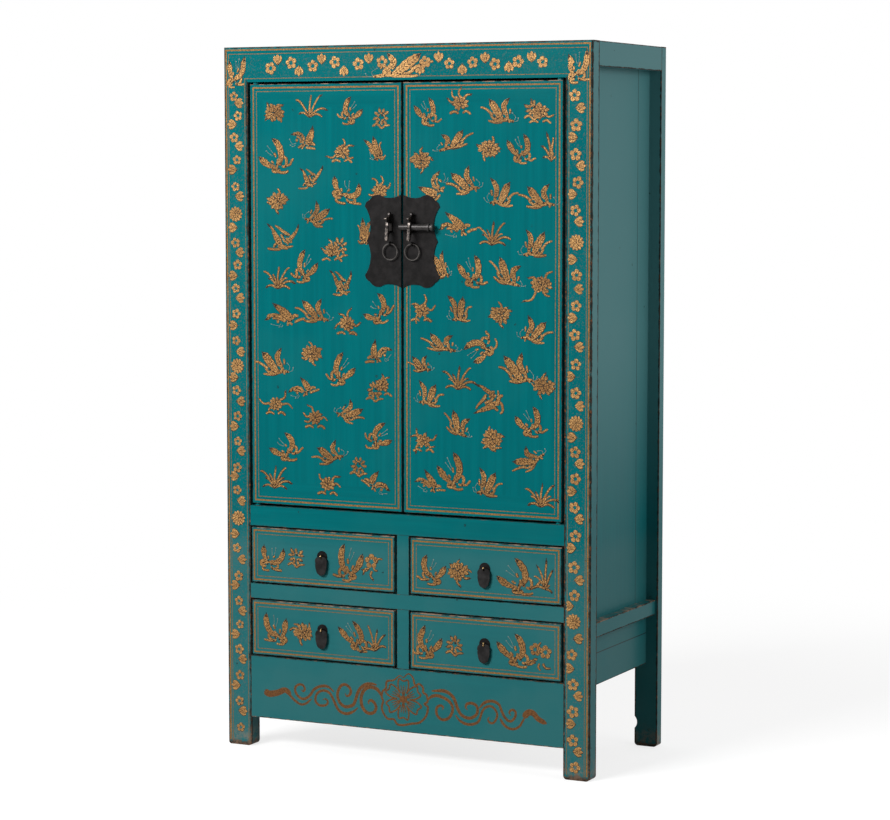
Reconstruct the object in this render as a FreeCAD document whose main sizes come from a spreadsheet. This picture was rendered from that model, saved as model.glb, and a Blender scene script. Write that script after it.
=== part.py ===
import FreeCAD, Part
import Sketcher
import math
import os

# A lacquered wedding cabinet: two doors over four drawers, on four posts.
# X runs across the front, Y from front to back, Z up from the floor.
# The origin is on the floor, under the middle of the cabinet with its lock.

# Driving dimensions in millimetres, all kept in the sheet
SIZES = {
    # overall
    "width": 1050.0,
    "depth": 490.0,
    "height": 1850.0,
    # posts
    "front_post_width": 72.0,
    "front_post_depth": 42.0,
    "rear_post_width": 64.0,
    "rear_post_depth": 34.0,
    "foot_round": 10.0,
    "post_edge_round": 4.0,
    "leg_notch_level": 63.0,
    "leg_notch_half_height": 16.0,
    "leg_notch_depth": 7.0,
    # rails of the top frame
    "top_rail_height": 91.0,
    "side_top_rail_height": 63.0,
    "side_top_rail_width": 50.0,
    "top_board_thickness": 15.0,
    # levels of the front, from the floor up
    "leg_clearance": 79.0,
    "apron_height": 166.0,
    "apron_depth": 24.0,
    "drawer_opening_height": 154.0,
    "drawer_rail_height": 40.0,
    "sill_height": 54.0,
    "rail_depth": 42.0,
    "divider_width": 35.0,
    "divider_depth": 34.0,
    # joints between the timbers
    "tenon_thickness": 12.0,
    "tenon_length": 25.0,
    "tenon_shoulder": 11.0,
    "tenon_setback": 15.0,
    "stub_length": 8.0,
    "stub_shoulder": 4.0,
    "side_tenon_setback": 15.0,
    "side_tenon_length": 12.0,
    "corner_tenon_height": 15.0,
    # sides
    "side_recess": 33.0,
    "board_thickness": 12.0,
    "board_seam_from_front": 378.0,
    "side_rail_level": 357.0,
    "side_rail_height": 38.0,
    "side_rail_width": 47.0,
    "side_rail_recess": 8.0,
    "skirt_level": 224.0,
    "skirt_seam_level": 306.0,
    # back
    "back_board_thickness": 10.0,
    "back_board_inset": 8.0,
    "rear_bottom_rail_height": 38.0,
    # inside
    "floor_thickness": 15.0,
    "shelf_level": 1165.0,
    "shelf_thickness": 15.0,
    "shelf_door_gap": 1.0,
    "shelf_notch_width": 53.0,
    "shelf_notch_gap": 2.0,
    "bearer_width": 18.0,
    "bearer_height": 20.0,
    "rear_bearer_depth": 14.0,
    "runner_height": 21.0,
    "runner_reach": 28.0,
    "centre_runner_width": 90.0,
    "guide_height": 12.0,
    "guide_gap": 1.5,
    "bottom_board_thickness": 10.0,
    "bottom_board_lift": 6.0,
    # doors
    "door_side_gap": 7.0,
    "door_meeting_gap": 5.5,
    "door_end_gap": 6.0,
    "door_thickness": 24.0,
    "door_frame_width": 60.0,
    "door_edge_round": 1.5,
    "door_tenon_thickness": 8.0,
    "door_tenon_width": 20.0,
    "door_tenon_length": 46.0,
    "panel_thickness": 14.0,
    "panel_tongue": 6.0,
    "batten_width": 30.0,
    "batten_flare": 3.0,
    "batten_bury": 4.0,
    "batten_end_distance": 235.0,
    "pivot_radius": 8.0,
    "pivot_setback": 12.0,
    "pivot_length_top": 22.0,
    "pivot_length_bottom": 20.0,
    "pivot_clearance": 0.3,
    # lock plates
    "plate_half_width": 108.0,
    "plate_half_height": 118.5,
    "plate_thickness": 2.0,
    "plate_edge_gap": 0.5,
    "plate_level": 1350.0,
    # lugs that hold the bolt
    "lug_offset": 31.5,
    "lug_width": 7.0,
    "lug_reach": 36.0,
    "lug_rise": 37.0,
    "lug_drop": 34.0,
    "lug_tang_height": 12.0,
    "lug_tang_width": 4.0,
    "fitting_tang_length": 16.0,
    # bolt
    "bolt_radius": 8.2,
    "bolt_length": 98.0,
    "bolt_collar_radius": 10.2,
    "bolt_collar_length": 5.5,
    "bolt_neck_radius": 7.2,
    "bolt_neck_length": 3.0,
    "bolt_knob_radius": 9.8,
    "bolt_knob_length": 8.0,
    "bolt_knob_ease": 1.5,
    "bolt_tip_radius": 6.8,
    "bolt_tip_length": 2.5,
    "bolt_level": 1386.0,
    "bolt_stand": 14.3,
    "bolt_clearance": 0.9,
    "bolt_tip_from_gap": 0.75,
    # rings and the eyes that carry them
    "ring_radius": 20.6,
    "ring_wire": 1.9,
    "ring_level": 1343.6,
    "eye_stand": 8.8,
    "eye_wire": 2.0,
    "eye_clearance": 0.5,
    "hole_clearance": 0.1,
    # drawers
    "drawer_gap": 4.0,
    "drawer_side_gap": 5.5,
    "drawer_proud": 3.0,
    "drawer_front_thickness": 20.0,
    "drawer_side_inset": 3.0,
    "drawer_side_thickness": 12.0,
    "drawer_side_height": 130.0,
    "drawer_rear_clearance": 52.0,
    "drawer_edge_round": 2.0,
    "drawer_bottom_thickness": 8.0,
    "drawer_bottom_lift": 8.0,
    "drawer_bottom_groove": 5.0,
    "drawer_back_inset": 14.0,
    "dovetail_length": 13.0,
    "dovetail_width": 26.0,
    "dovetail_flare": 3.0,
    # drawer pulls
    "pull_plate_radius": 15.0,
    "pull_plate_thickness": 1.5,
    "pull_lift": 7.0,
    "pull_eye_stand": 7.2,
    "pull_eye_wire": 1.7,
    "pull_eye_clearance": 1.0,
    "pull_bar_half_width": 4.0,
    "pull_bar_rise": 1.4,
    "pull_hole_radius": 2.7,
    "drop_half_width": 16.5,
    "drop_length": 49.0,
    "drop_thickness": 2.0,
}

# Outline of a lock plate's right half, from the lower cusp round to the upper one.
# Each row: share of the half width, share of the half height, and the bow of the
# edge that follows as a share of its own length (plus bows out, minus bows in).
# A width of nothing stands for the plate's edge at the gap between the doors.
PLATE_OUTLINE_SHARES = (
    (0.00, -1.00, -0.10),
    (0.50, -0.95, 0.22),
    (0.86, -0.88, 0.16),
    (0.99, -0.74, -0.155),
    (0.94, 0.00, -0.155),
    (0.99, 0.74, 0.16),
    (0.86, 0.88, 0.22),
    (0.50, 0.95, -0.10),
    (0.00, 1.00, 0.0),
)

# The bow of a quarter circle, as a share of its chord
QUARTER_BOW_SHARE = (2 ** 0.5 - 1) / 2

# Side view of a lug in front of its plate.
# Each row: share of the reach, height over the bolt as a share of the rise (plus)
# or of the drop (minus), and the bow of the edge that follows.
LUG_OUTLINE_SHARES = (
    (0.00, -0.41, 0.0),
    (0.38, -0.45, -0.10),
    (0.66, -0.97, 0.45),
    (0.86, -0.97, 0.0),
    (0.76, -0.10, 0.04),
    (0.70, 0.28, 0.20),
    (0.46, 0.42, -0.12),
    (0.86, 0.48, QUARTER_BOW_SHARE),
    (1.00, 0.58, QUARTER_BOW_SHARE),
    (0.86, 0.68, -0.08),
    (0.52, 0.76, -0.10),
    (0.42, 0.96, 0.35),
    (0.20, 0.96, 0.20),
    (0.12, 0.62, -0.10),
    (0.20, 0.44, 0.0),
    (0.00, 0.38, 0.0),
)

# Outline of a drawer drop's right half, from its shoulder down to its point
DROP_OUTLINE_SHARES = (
    (0.78, -0.03, 0.16),
    (1.00, -0.34, 0.07),
    (0.86, -0.72, 0.20),
)

DOVETAILS_PER_SIDE = 3

# Wire of rings and eyes, hammered to eight sides
WIRE_SIDES = 8

ALONG_X = FreeCAD.Vector(1, 0, 0)
ALONG_Y = FreeCAD.Vector(0, 1, 0)
ALONG_Z = FreeCAD.Vector(0, 0, 1)
QUARTER_TURN = 90
WHOLE_TURN = 360

document = FreeCAD.newDocument("painted_cabinet")
sheet = document.addObject("Spreadsheet::Sheet", "Sizes")
kept = []


class Size:
    """A length that carries its number and the sheet expression behind it."""

    def __init__(self, number, text):
        self.number = number
        self.text = text

    def joined(self, sign, other, number):
        return Size(number, "(" + self.text + " " + sign + " " + text_of(other) + ")")

    def __add__(self, other):
        return self.joined("+", other, self.number + number_of(other))

    def __sub__(self, other):
        return self.joined("-", other, self.number - number_of(other))

    def __rsub__(self, other):
        return -(self - other)

    def __mul__(self, other):
        return self.joined("*", other, self.number * number_of(other))

    def __truediv__(self, other):
        return self.joined("/", other, self.number / number_of(other))

    def __neg__(self):
        return Size(-self.number, "(0 - " + self.text + ")")


def number_of(value):
    return value.number if isinstance(value, Size) else float(value)


def text_of(value):
    return value.text if isinstance(value, Size) else "(" + repr(float(value)) + ")"


def fill_sheet():
    """Write every driving dimension to the sheet under its own name."""
    lengths = {}
    for row, (name, number) in enumerate(SIZES.items(), start=1):
        sheet.set("A" + str(row), name)
        sheet.set("B" + str(row), str(number))
        sheet.setAlias("B" + str(row), name)
        lengths[name] = Size(number, "Sizes." + name)
    document.recompute()
    return lengths


size = fill_sheet()


def bind(piece, path, value):
    piece.setExpression(path, text_of(value))


# Ways of making pieces

def block(name, x, y, z):
    """A squared timber or a cutter, from a low and a high along each axis."""
    box = document.addObject("Part::Box", name)
    for side, (low, high) in zip(("Length", "Width", "Height"), (x, y, z)):
        bind(box, side, high - low)
    for axis, (low, high) in zip("xyz", (x, y, z)):
        bind(box, "Placement.Base." + axis, low)
    return box


def fused(name, *pieces):
    union = document.addObject("Part::MultiFuse", name)
    union.Shapes = list(pieces)
    return union


def cut(name, base, *tools):
    """The base with the room that the tools take removed."""
    result = document.addObject("Part::Cut", name)
    result.Base = base
    result.Tool = tools[0] if len(tools) == 1 else fused(name + "_room", *tools)
    return result


def shared(name, *pieces):
    """The room that all the pieces have in common."""
    common = document.addObject("Part::MultiCommon", name)
    common.Shapes = list(pieces)
    return common


def grouped(name, *pieces):
    group = document.addObject("Part::Compound", name)
    group.Links = list(pieces)
    return group


def mirrored(name, source):
    """The same piece on the other side of the cabinet's middle plane."""
    mirror = document.addObject("Part::Mirroring", name)
    mirror.Source = source
    mirror.Normal = FreeCAD.Vector(1, 0, 0)
    return mirror


def keep(name, piece):
    """Count a piece as a sub-part of the cabinet, under its own name."""
    piece.Label = name
    kept.append(piece)
    return piece


def arc_edge(start, end, bow):
    """The arc between two points that bows out by a share of its chord."""
    chord = end.sub(start)
    reach = chord.Length
    rise = abs(bow) * reach
    radius = (reach * reach / 4 + rise * rise) / (2 * rise)
    left = FreeCAD.Vector(-chord.y, chord.x, 0).normalize()
    inward = 1 if bow > 0 else -1
    centre = start.add(chord.multiply(0.5)).add(left.multiply(inward * (radius - rise)))
    first, last = (start, end) if bow > 0 else (end, start)
    angles = [math.atan2(point.y - centre.y, point.x - centre.x) for point in (first, last)]
    circle = Part.Circle(centre, FreeCAD.Vector(0, 0, 1), radius)
    return Part.ArcOfCircle(circle, angles[0], angles[1])


def drawn(body, name, plane, outline, offset):
    """A closed sketch on a body's own plane, each corner tied to the sheet.

    A row of the outline is a corner and, when it has a third value, the bow of
    the edge that follows. Corners go round against the clock.
    """
    sketch = body.newObject("Sketcher::SketchObject", name)
    for feature in body.Origin.OriginFeatures:
        if feature.Role == plane:
            sketch.AttachmentSupport = [(feature, "")]
    sketch.MapMode = "FlatFace"
    bind(sketch, "AttachmentOffset.Base.z", offset)
    count = len(outline)
    corners = [FreeCAD.Vector(number_of(row[0]), number_of(row[1]), 0) for row in outline]
    starts = []
    for index, row in enumerate(outline):
        bow = row[2] if len(row) > 2 else 0.0
        start = corners[index]
        end = corners[(index + 1) % count]
        if bow:
            sketch.addGeometry(arc_edge(start, end, bow))
        else:
            sketch.addGeometry(Part.LineSegment(start, end))
        starts.append(1 if bow >= 0 else 2)
    for index in range(count):
        after = (index + 1) % count
        own_end = 3 - starts[index]
        sketch.addConstraint(Sketcher.Constraint("Coincident", index, own_end, after, starts[after]))
    for index, row in enumerate(outline):
        for kind, value in zip(("DistanceX", "DistanceY"), row[:2]):
            rule = Sketcher.Constraint(kind, -1, 1, index, starts[index], number_of(value))
            at = sketch.addConstraint(rule)
            bind(sketch, "Constraints[" + str(at) + "]", value)
    for index, row in enumerate(outline):
        if len(row) > 2 and row[2]:
            near = outline[(index + 1) % count]
            radius = bowed_radius(row, near)
            at = sketch.addConstraint(Sketcher.Constraint("Radius", index, radius.number))
            bind(sketch, "Constraints[" + str(at) + "]", radius)
    return sketch


def bowed_radius(row, near):
    """The radius of the bowed edge between two corners, as a sheet expression."""
    across = near[0] - row[0]
    up = near[1] - row[1]
    reach = across * across + up * up
    chord = Size(math.sqrt(reach.number), "sqrt(" + reach.text + ")")
    bow = abs(row[2])
    return chord * ((0.25 + bow * bow) / (2 * bow))


def padded(name, plane, outline, low, high):
    """A solid with the outline on the plane, from low to high along the third axis."""
    body = document.addObject("PartDesign::Body", name)
    offset = -high if plane == "XZ_Plane" else low
    pad = body.newObject("PartDesign::Pad", name + "_pad")
    sketch = drawn(body, name + "_outline", plane, outline, offset)
    pad.Profile = sketch
    bind(pad, "Length", high - low)
    body.Tip = pad
    return body


def turned(name, outline, x, y, z):
    """A solid of revolution about a line along X, placed by its left end."""
    body = document.addObject("PartDesign::Body", name)
    sketch = drawn(body, name + "_outline", "XY_Plane", outline, 0)
    turn = body.newObject("PartDesign::Revolution", name + "_turn")
    turn.Profile = sketch
    turn.ReferenceAxis = (sketch, ["H_Axis"])
    body.Tip = turn
    for axis, value in zip("xyz", (x, y, z)):
        bind(body, "Placement.Base." + axis, value)
    return body


def rod(name, radius, length, base, direction):
    """A round bar from its base point along a direction."""
    bar = document.addObject("Part::Cylinder", name)
    bind(bar, "Radius", radius)
    bind(bar, "Height", length)
    turn = FreeCAD.Rotation(ALONG_Z, direction)
    bar.Placement = FreeCAD.Placement(FreeCAD.Vector(), turn)
    for axis, value in zip("xyz", base):
        bind(bar, "Placement.Base." + axis, value)
    return bar


def hoop(name, radius, wire, centre, direction):
    """A closed ring of eight-sided forged wire about a direction, one flat facing its middle."""
    section = document.addObject("Part::RegularPolygon", name + "_section")
    section.Polygon = WIRE_SIDES
    bind(section, "Circumradius", wire)
    upright = FreeCAD.Rotation(ALONG_X, QUARTER_TURN)
    flat_inward = FreeCAD.Rotation(ALONG_Z, WHOLE_TURN / WIRE_SIDES / 2)
    section.Placement = FreeCAD.Placement(FreeCAD.Vector(), upright.multiply(flat_inward))
    bind(section, "Placement.Base.x", radius)
    ring = document.addObject("Part::Revolution", name)
    ring.Source = section
    ring.Axis = ALONG_Z
    ring.Angle = WHOLE_TURN
    ring.Solid = True
    turn = FreeCAD.Rotation(ALONG_Z, direction)
    ring.Placement = FreeCAD.Placement(FreeCAD.Vector(), turn)
    for axis, value in zip("xyz", centre):
        bind(ring, "Placement.Base." + axis, value)
    return ring


# Places worked out from the driving dimensions

half_width = size["width"] / 2
front = -(size["depth"] - size["lug_reach"]) / 2
rear = front + size["depth"]

post_inside = half_width - size["front_post_width"]
post_back = front + size["front_post_depth"]
rear_post_inside = half_width - size["rear_post_width"]
rear_post_front = rear - size["rear_post_depth"]

apron_top = size["leg_clearance"] + size["apron_height"]
drawer_rail_low = apron_top + size["drawer_opening_height"]
drawer_rail_top = drawer_rail_low + size["drawer_rail_height"]
sill_low = drawer_rail_top + size["drawer_opening_height"]
sill_top = sill_low + size["sill_height"]
top_rail_low = size["height"] - size["top_rail_height"]
side_top_rail_low = size["height"] - size["side_top_rail_height"]

board_outside = half_width - size["side_recess"]
board_inside = board_outside - size["board_thickness"]
side_rail_outside = half_width - size["side_rail_recess"]
side_rail_inside = side_rail_outside - size["side_rail_width"]
side_rail_top = size["side_rail_level"] + size["side_rail_height"]
back_board_rear = rear - size["back_board_inset"]
back_board_front = back_board_rear - size["back_board_thickness"]

drawer_back = back_board_front - size["drawer_rear_clearance"]

door_outside = post_inside - size["door_side_gap"]
door_inside = size["door_meeting_gap"] / 2
door_low = sill_top + size["door_end_gap"]
door_high = top_rail_low - size["door_end_gap"]
door_back = front + size["door_thickness"]
stile_inside = door_outside - size["door_frame_width"]
lock_stile_outside = door_inside + size["door_frame_width"]
pivot_x = door_outside - size["pivot_setback"]
pivot_y = front + size["pivot_setback"]

plate_face = front - size["plate_thickness"]
bolt_y = front - size["bolt_stand"]


# Carcass rails

def rail_with_tenons(name, z_low, z_high, deep):
    """A straight rail between the front posts, with a centred tenon at each end."""
    beam = block(name + "_beam", (-post_inside, post_inside), (front, front + deep), (z_low, z_high))
    tenon_front = front + (deep - size["tenon_thickness"]) / 2
    reach = post_inside + size["tenon_length"]
    tenons = block(
        name + "_tenons",
        (-reach, reach),
        (tenon_front, tenon_front + size["tenon_thickness"]),
        (z_low + size["tenon_shoulder"], z_high - size["tenon_shoulder"]),
    )
    return fused(name + "_blank", beam, tenons)


def front_top_rail_blank():
    """The rail over the doors, mitred into the posts, with tenons past the mitres."""
    worn = size["post_edge_round"]
    section = (
        (front, size["height"] - worn),
        (front, top_rail_low),
        (post_back, top_rail_low),
        (post_back, size["height"]),
        (front + worn, size["height"], QUARTER_BOW_SHARE),
    )
    outline = (
        (-post_inside, top_rail_low),
        (post_inside, top_rail_low),
        (half_width, size["height"]),
        (-half_width, size["height"]),
    )
    mitred = padded("front_top_rail_mitred", "XZ_Plane", outline, front, post_back)
    long_bar = padded("front_top_rail_section", "YZ_Plane", section, -half_width, half_width)
    beam = shared("front_top_rail_beam", mitred, long_bar)
    tenon_front = front + size["tenon_setback"]
    reach = post_inside + size["tenon_length"] + size["tenon_thickness"]
    tenon_low = top_rail_low + size["tenon_shoulder"]
    tenons = block(
        "front_top_rail_tenons",
        (-reach, reach),
        (tenon_front, tenon_front + size["tenon_thickness"]),
        (tenon_low, tenon_low + size["corner_tenon_height"]),
    )
    return fused("front_top_rail_blank", beam, tenons)


def side_top_rail_blank():
    inside = half_width - size["side_top_rail_width"]
    worn = size["post_edge_round"]
    outline = (
        (inside, side_top_rail_low),
        (half_width, side_top_rail_low),
        (half_width, size["height"] - worn, QUARTER_BOW_SHARE),
        (half_width - worn, size["height"]),
        (inside, size["height"]),
    )
    beam = padded("side_top_rail_beam", "XZ_Plane", outline, post_back, rear_post_front)
    tenon_x = half_width - size["side_tenon_setback"] - size["tenon_thickness"]
    tenon_low = side_top_rail_low + size["stub_shoulder"]
    tenon = block(
        "side_top_rail_tenons",
        (tenon_x, tenon_x + size["tenon_thickness"]),
        (post_back - size["side_tenon_length"], rear_post_front + size["side_tenon_length"]),
        (tenon_low, tenon_low + size["corner_tenon_height"]),
    )
    return fused("side_top_rail_blank", beam, tenon)


def side_lower_rail_blank():
    beam = block(
        "side_lower_rail_beam",
        (side_rail_inside, side_rail_outside),
        (post_back, rear_post_front),
        (size["side_rail_level"], side_rail_top),
    )
    tenon_x = half_width - size["side_tenon_setback"] - size["tenon_thickness"]
    tenon = block(
        "side_lower_rail_tenons",
        (tenon_x, tenon_x + size["tenon_thickness"]),
        (post_back - size["side_tenon_length"], rear_post_front + size["side_tenon_length"]),
        (size["side_rail_level"] + size["stub_shoulder"], side_rail_top - size["stub_shoulder"]),
    )
    return fused("side_lower_rail_blank", beam, tenon)


def rear_rail_blank(name, z_low, z_high):
    beam = block(
        name + "_beam",
        (-rear_post_inside, rear_post_inside),
        (rear_post_front, rear),
        (z_low, z_high),
    )
    reach = rear_post_inside + size["tenon_length"]
    tenon_front = rear_post_front + (size["rear_post_depth"] - size["tenon_thickness"]) / 2
    tenons = block(
        name + "_tenons",
        (-reach, reach),
        (tenon_front, tenon_front + size["tenon_thickness"]),
        (z_low + size["tenon_shoulder"], z_high - size["tenon_shoulder"]),
    )
    return fused(name + "_blank", beam, tenons)


def drawer_dividers():
    """The two short uprights between the drawers, stubbed into the rails."""
    half = size["divider_width"] / 2
    stub_half = half - size["stub_shoulder"]
    uprights = []
    for name, low in (("lower", apron_top), ("upper", drawer_rail_top)):
        high = low + size["drawer_opening_height"]
        upright = block(
            name + "_divider_upright",
            (-half, half),
            (front, front + size["divider_depth"]),
            (low, high),
        )
        stubs = block(
            name + "_divider_stubs",
            (-stub_half, stub_half),
            (front + size["stub_shoulder"], front + size["stub_shoulder"] + size["tenon_thickness"]),
            (low - size["stub_length"], high + size["stub_length"]),
        )
        uprights.append(fused(name + "_divider", upright, stubs))
    return grouped("drawer_dividers", *uprights)


# Boards

def top_boards():
    """Two boards flush with the top frame, tongued into the rails round them."""
    inside = half_width - size["side_top_rail_width"]
    middle = (post_back + rear_post_front) / 2
    low = size["height"] - size["top_board_thickness"]
    tongue_high = low + size["top_board_thickness"] / 2
    reach = inside + size["stub_length"]
    boards = []
    for name, near, far, lip_near, lip_far in (
        ("front", post_back, middle, post_back - size["stub_length"], middle),
        ("rear", middle, rear_post_front, middle, rear_post_front + size["stub_length"]),
    ):
        board = block(name + "_top_board_face", (-inside, inside), (near, far), (low, size["height"]))
        lip = block(name + "_top_board_tongue", (-reach, reach), (near, far), (low, tongue_high))
        edge = block(
            name + "_top_board_edge",
            (-rear_post_inside, rear_post_inside),
            (lip_near, lip_far),
            (low, tongue_high),
        )
        boards.append(fused(name + "_top_board", board, lip, edge))
    return grouped("top_boards", *boards)


def side_boards():
    """The wide and the narrow upright board of one side, housed in the frame round them."""
    seam = front + size["board_seam_from_front"]
    low = side_rail_top - size["stub_length"]
    high = side_top_rail_low + size["stub_length"]
    across = (board_inside, board_outside)
    wide = block("wide_side_board", across, (post_back - size["stub_length"], seam), (low, high))
    narrow = block(
        "narrow_side_board", across, (seam, rear_post_front + size["stub_length"]), (low, high)
    )
    return grouped("side_boards", wide, narrow)


def skirt_boards():
    """The two level boards under the lower side rail."""
    across = (board_inside, board_outside)
    along = (post_back - size["stub_length"], rear_post_front + size["stub_length"])
    top = size["side_rail_level"] + size["stub_length"]
    lower = block("lower_skirt_board", across, along, (size["skirt_level"], size["skirt_seam_level"]))
    upper = block("upper_skirt_board", across, along, (size["skirt_seam_level"], top))
    return grouped("skirt_boards", lower, upper)


def back_boards():
    """Three upright boards behind the cupboard and one behind the lower drawers."""
    reach = rear_post_inside + size["stub_length"]
    across = (back_board_front, back_board_rear)
    low = drawer_rail_top - size["stub_length"]
    high = side_top_rail_low + size["stub_length"]
    edges = (-reach, -reach / 3, reach / 3, reach)
    boards = []
    for index, (left, right) in enumerate(zip(edges, edges[1:]), start=1):
        boards.append(block("back_board_" + str(index), (left, right), across, (low, high)))
    lower_low = size["skirt_level"] + size["rear_bottom_rail_height"] - size["stub_length"]
    lower_high = drawer_rail_low + size["stub_length"]
    boards.append(block("lower_back_board", (-reach, reach), across, (lower_low, lower_high)))
    return grouped("back_boards", *boards)


def level_board(name, near, low, thick):
    """A board across the inside, filling the plan between the sides and the back."""
    main = block(name + "_main", (-board_inside, board_inside), (near, rear_post_front), (low, low + thick))
    tail = block(
        name + "_tail",
        (-rear_post_inside, rear_post_inside),
        (rear_post_front, back_board_front),
        (low, low + thick),
    )
    return main, tail


def cupboard_floor():
    low = sill_top - size["floor_thickness"]
    main, tail = level_board("cupboard_floor", post_back, low, size["floor_thickness"])
    tongue = block(
        "cupboard_floor_tongue",
        (-post_inside, post_inside),
        (post_back - size["stub_length"], post_back),
        (low, low + size["floor_thickness"] / 2),
    )
    return fused("cupboard_floor", main, tail, tongue)


def shelf():
    """The shelf, whose front edge stops the doors between its notched corners."""
    near = post_back + size["shelf_notch_gap"]
    main, tail = level_board("shelf", near, size["shelf_level"], size["shelf_thickness"])
    reach = post_inside - size["shelf_notch_width"]
    nose = block(
        "shelf_nose",
        (-reach, reach),
        (door_back + size["shelf_door_gap"], near),
        (size["shelf_level"], size["shelf_level"] + size["shelf_thickness"]),
    )
    return fused("shelf", main, tail, nose)


def bearers():
    """The battens under the shelf and the cupboard floor, let into the posts."""
    inside = board_inside - size["bearer_width"]
    along = (post_back - size["stub_length"], rear_post_front)
    reach = rear_post_inside + size["stub_length"]
    across = (back_board_front - size["rear_bearer_depth"], back_board_front)
    rows = []
    for name, top in (("floor", sill_top - size["floor_thickness"]), ("shelf", size["shelf_level"])):
        level = (top - size["bearer_height"], top)
        right = block(name + "_right_bearer", (inside, board_inside), along, level)
        rows.append(right)
        rows.append(mirrored(name + "_left_bearer", right))
        rows.append(block(name + "_rear_bearer", (-reach, reach), across, level))
    return grouped("shelf_and_floor_bearers", *rows)


def bottom_board():
    """One of the two boards that close the case under the lower drawers."""
    low = apron_top - size["runner_height"] + size["bottom_board_lift"]
    centre = size["centre_runner_width"] / 2 - size["stub_length"]
    outer = post_inside - size["runner_reach"] + size["stub_length"]
    return block(
        "right_bottom_board",
        (centre, outer),
        (front + size["apron_depth"], rear_post_front),
        (low, low + size["bottom_board_thickness"]),
    )


def runner_rows():
    """For each row of drawers: its name, the runners' top, and where their ends lie."""
    lower_front = front + size["apron_depth"] - size["stub_length"]
    upper_front = front + size["rail_depth"] - size["stub_length"]
    return (("lower", apron_top, lower_front), ("upper", drawer_rail_top, upper_front))


def drawer_runners(boards):
    """Side and centre runners, each with an upstand that guides the drawers."""
    centre_half = size["centre_runner_width"] / 2
    guide_half = size["divider_width"] / 2 + size["drawer_side_gap"] + size["drawer_side_inset"]
    guide_half = guide_half - size["guide_gap"]
    side_guide = post_inside - size["drawer_side_gap"] - size["drawer_side_inset"]
    side_guide = side_guide + size["guide_gap"]
    end = rear_post_front + size["stub_length"]
    runners = []
    for name, top, start in runner_rows():
        level = (top - size["runner_height"], top)
        upstand = (top, top + size["guide_height"])
        guide_run = (post_back, rear_post_front)
        base = block(name + "_centre_runner_base", (-centre_half, centre_half), (start, end), level)
        guide = block(name + "_centre_guide", (-guide_half, guide_half), guide_run, upstand)
        centre = fused(name + "_centre_runner_blank", base, guide)
        lip = block(
            name + "_side_runner_lip",
            (post_inside - size["runner_reach"], post_inside),
            (start, end),
            level,
        )
        ledge = block(name + "_side_runner_ledge", (post_inside, board_inside), guide_run, level)
        fence = block(name + "_side_guide", (side_guide, board_inside), guide_run, upstand)
        side = fused(name + "_side_runner_blank", lip, ledge, fence)
        if name == "lower":
            centre = cut(name + "_centre_runner", centre, boards)
            side = cut(name + "_side_runner", side, boards)
        runners += [centre, side, mirrored(name + "_left_runner", side)]
    return grouped("drawer_runners", *runners)


# Posts

def front_post_blank():
    """A front post, mitred at its top and worn round at its foot."""
    worn = size["foot_round"]
    bow = QUARTER_BOW_SHARE
    outline = (
        (post_inside + worn, 0),
        (half_width - worn, 0, bow),
        (half_width, worn),
        (half_width, size["height"]),
        (post_inside, top_rail_low),
        (post_inside, worn, bow),
    )
    shape = padded("front_post_mitred", "XZ_Plane", outline, front, post_back)
    eased = size["post_edge_round"]
    section = (
        (post_inside, front),
        (half_width - eased, front, bow),
        (half_width, front + eased),
        (half_width, post_back),
        (post_inside, post_back),
    )
    bar = padded("front_post_section", "XY_Plane", section, 0, size["height"])
    return shared("front_post_blank", shape, bar)


def rear_post_blank():
    worn = size["foot_round"]
    bow = QUARTER_BOW_SHARE
    outline = (
        (rear_post_inside + worn, 0),
        (half_width - worn, 0, bow),
        (half_width, worn),
        (half_width, size["height"]),
        (rear_post_inside, size["height"]),
        (rear_post_inside, worn, bow),
    )
    shape = padded("rear_post_footed", "XZ_Plane", outline, rear_post_front, rear)
    eased = size["post_edge_round"]
    section = (
        (rear_post_inside, rear_post_front),
        (half_width, rear_post_front),
        (half_width, rear - eased, bow),
        (half_width - eased, rear),
        (rear_post_inside, rear),
    )
    bar = padded("rear_post_section", "XY_Plane", section, 0, size["height"])
    return shared("rear_post_blank", shape, bar)


def leg_notch():
    """The shallow round hollow in the inner edge of the rear right leg."""
    half = size["leg_notch_half_height"]
    deep = size["leg_notch_depth"]
    radius = (half * half + deep * deep) / (deep * 2)
    return rod(
        "leg_notch",
        radius,
        size["rear_post_depth"],
        (rear_post_inside + deep - radius, rear_post_front, size["leg_notch_level"]),
        ALONG_Y,
    )


# Doors, modelled on the right side and mirrored to the left

def door_tenon(name, low, high):
    """The tenons at both ends of a door rail, which run into the stiles."""
    across = size["door_tenon_length"]
    back = door_back - (size["door_thickness"] - size["door_tenon_thickness"]) / 2
    return block(
        name,
        (lock_stile_outside - across, stile_inside + across),
        (back - size["door_tenon_thickness"], back),
        (low, high),
    )


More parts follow.
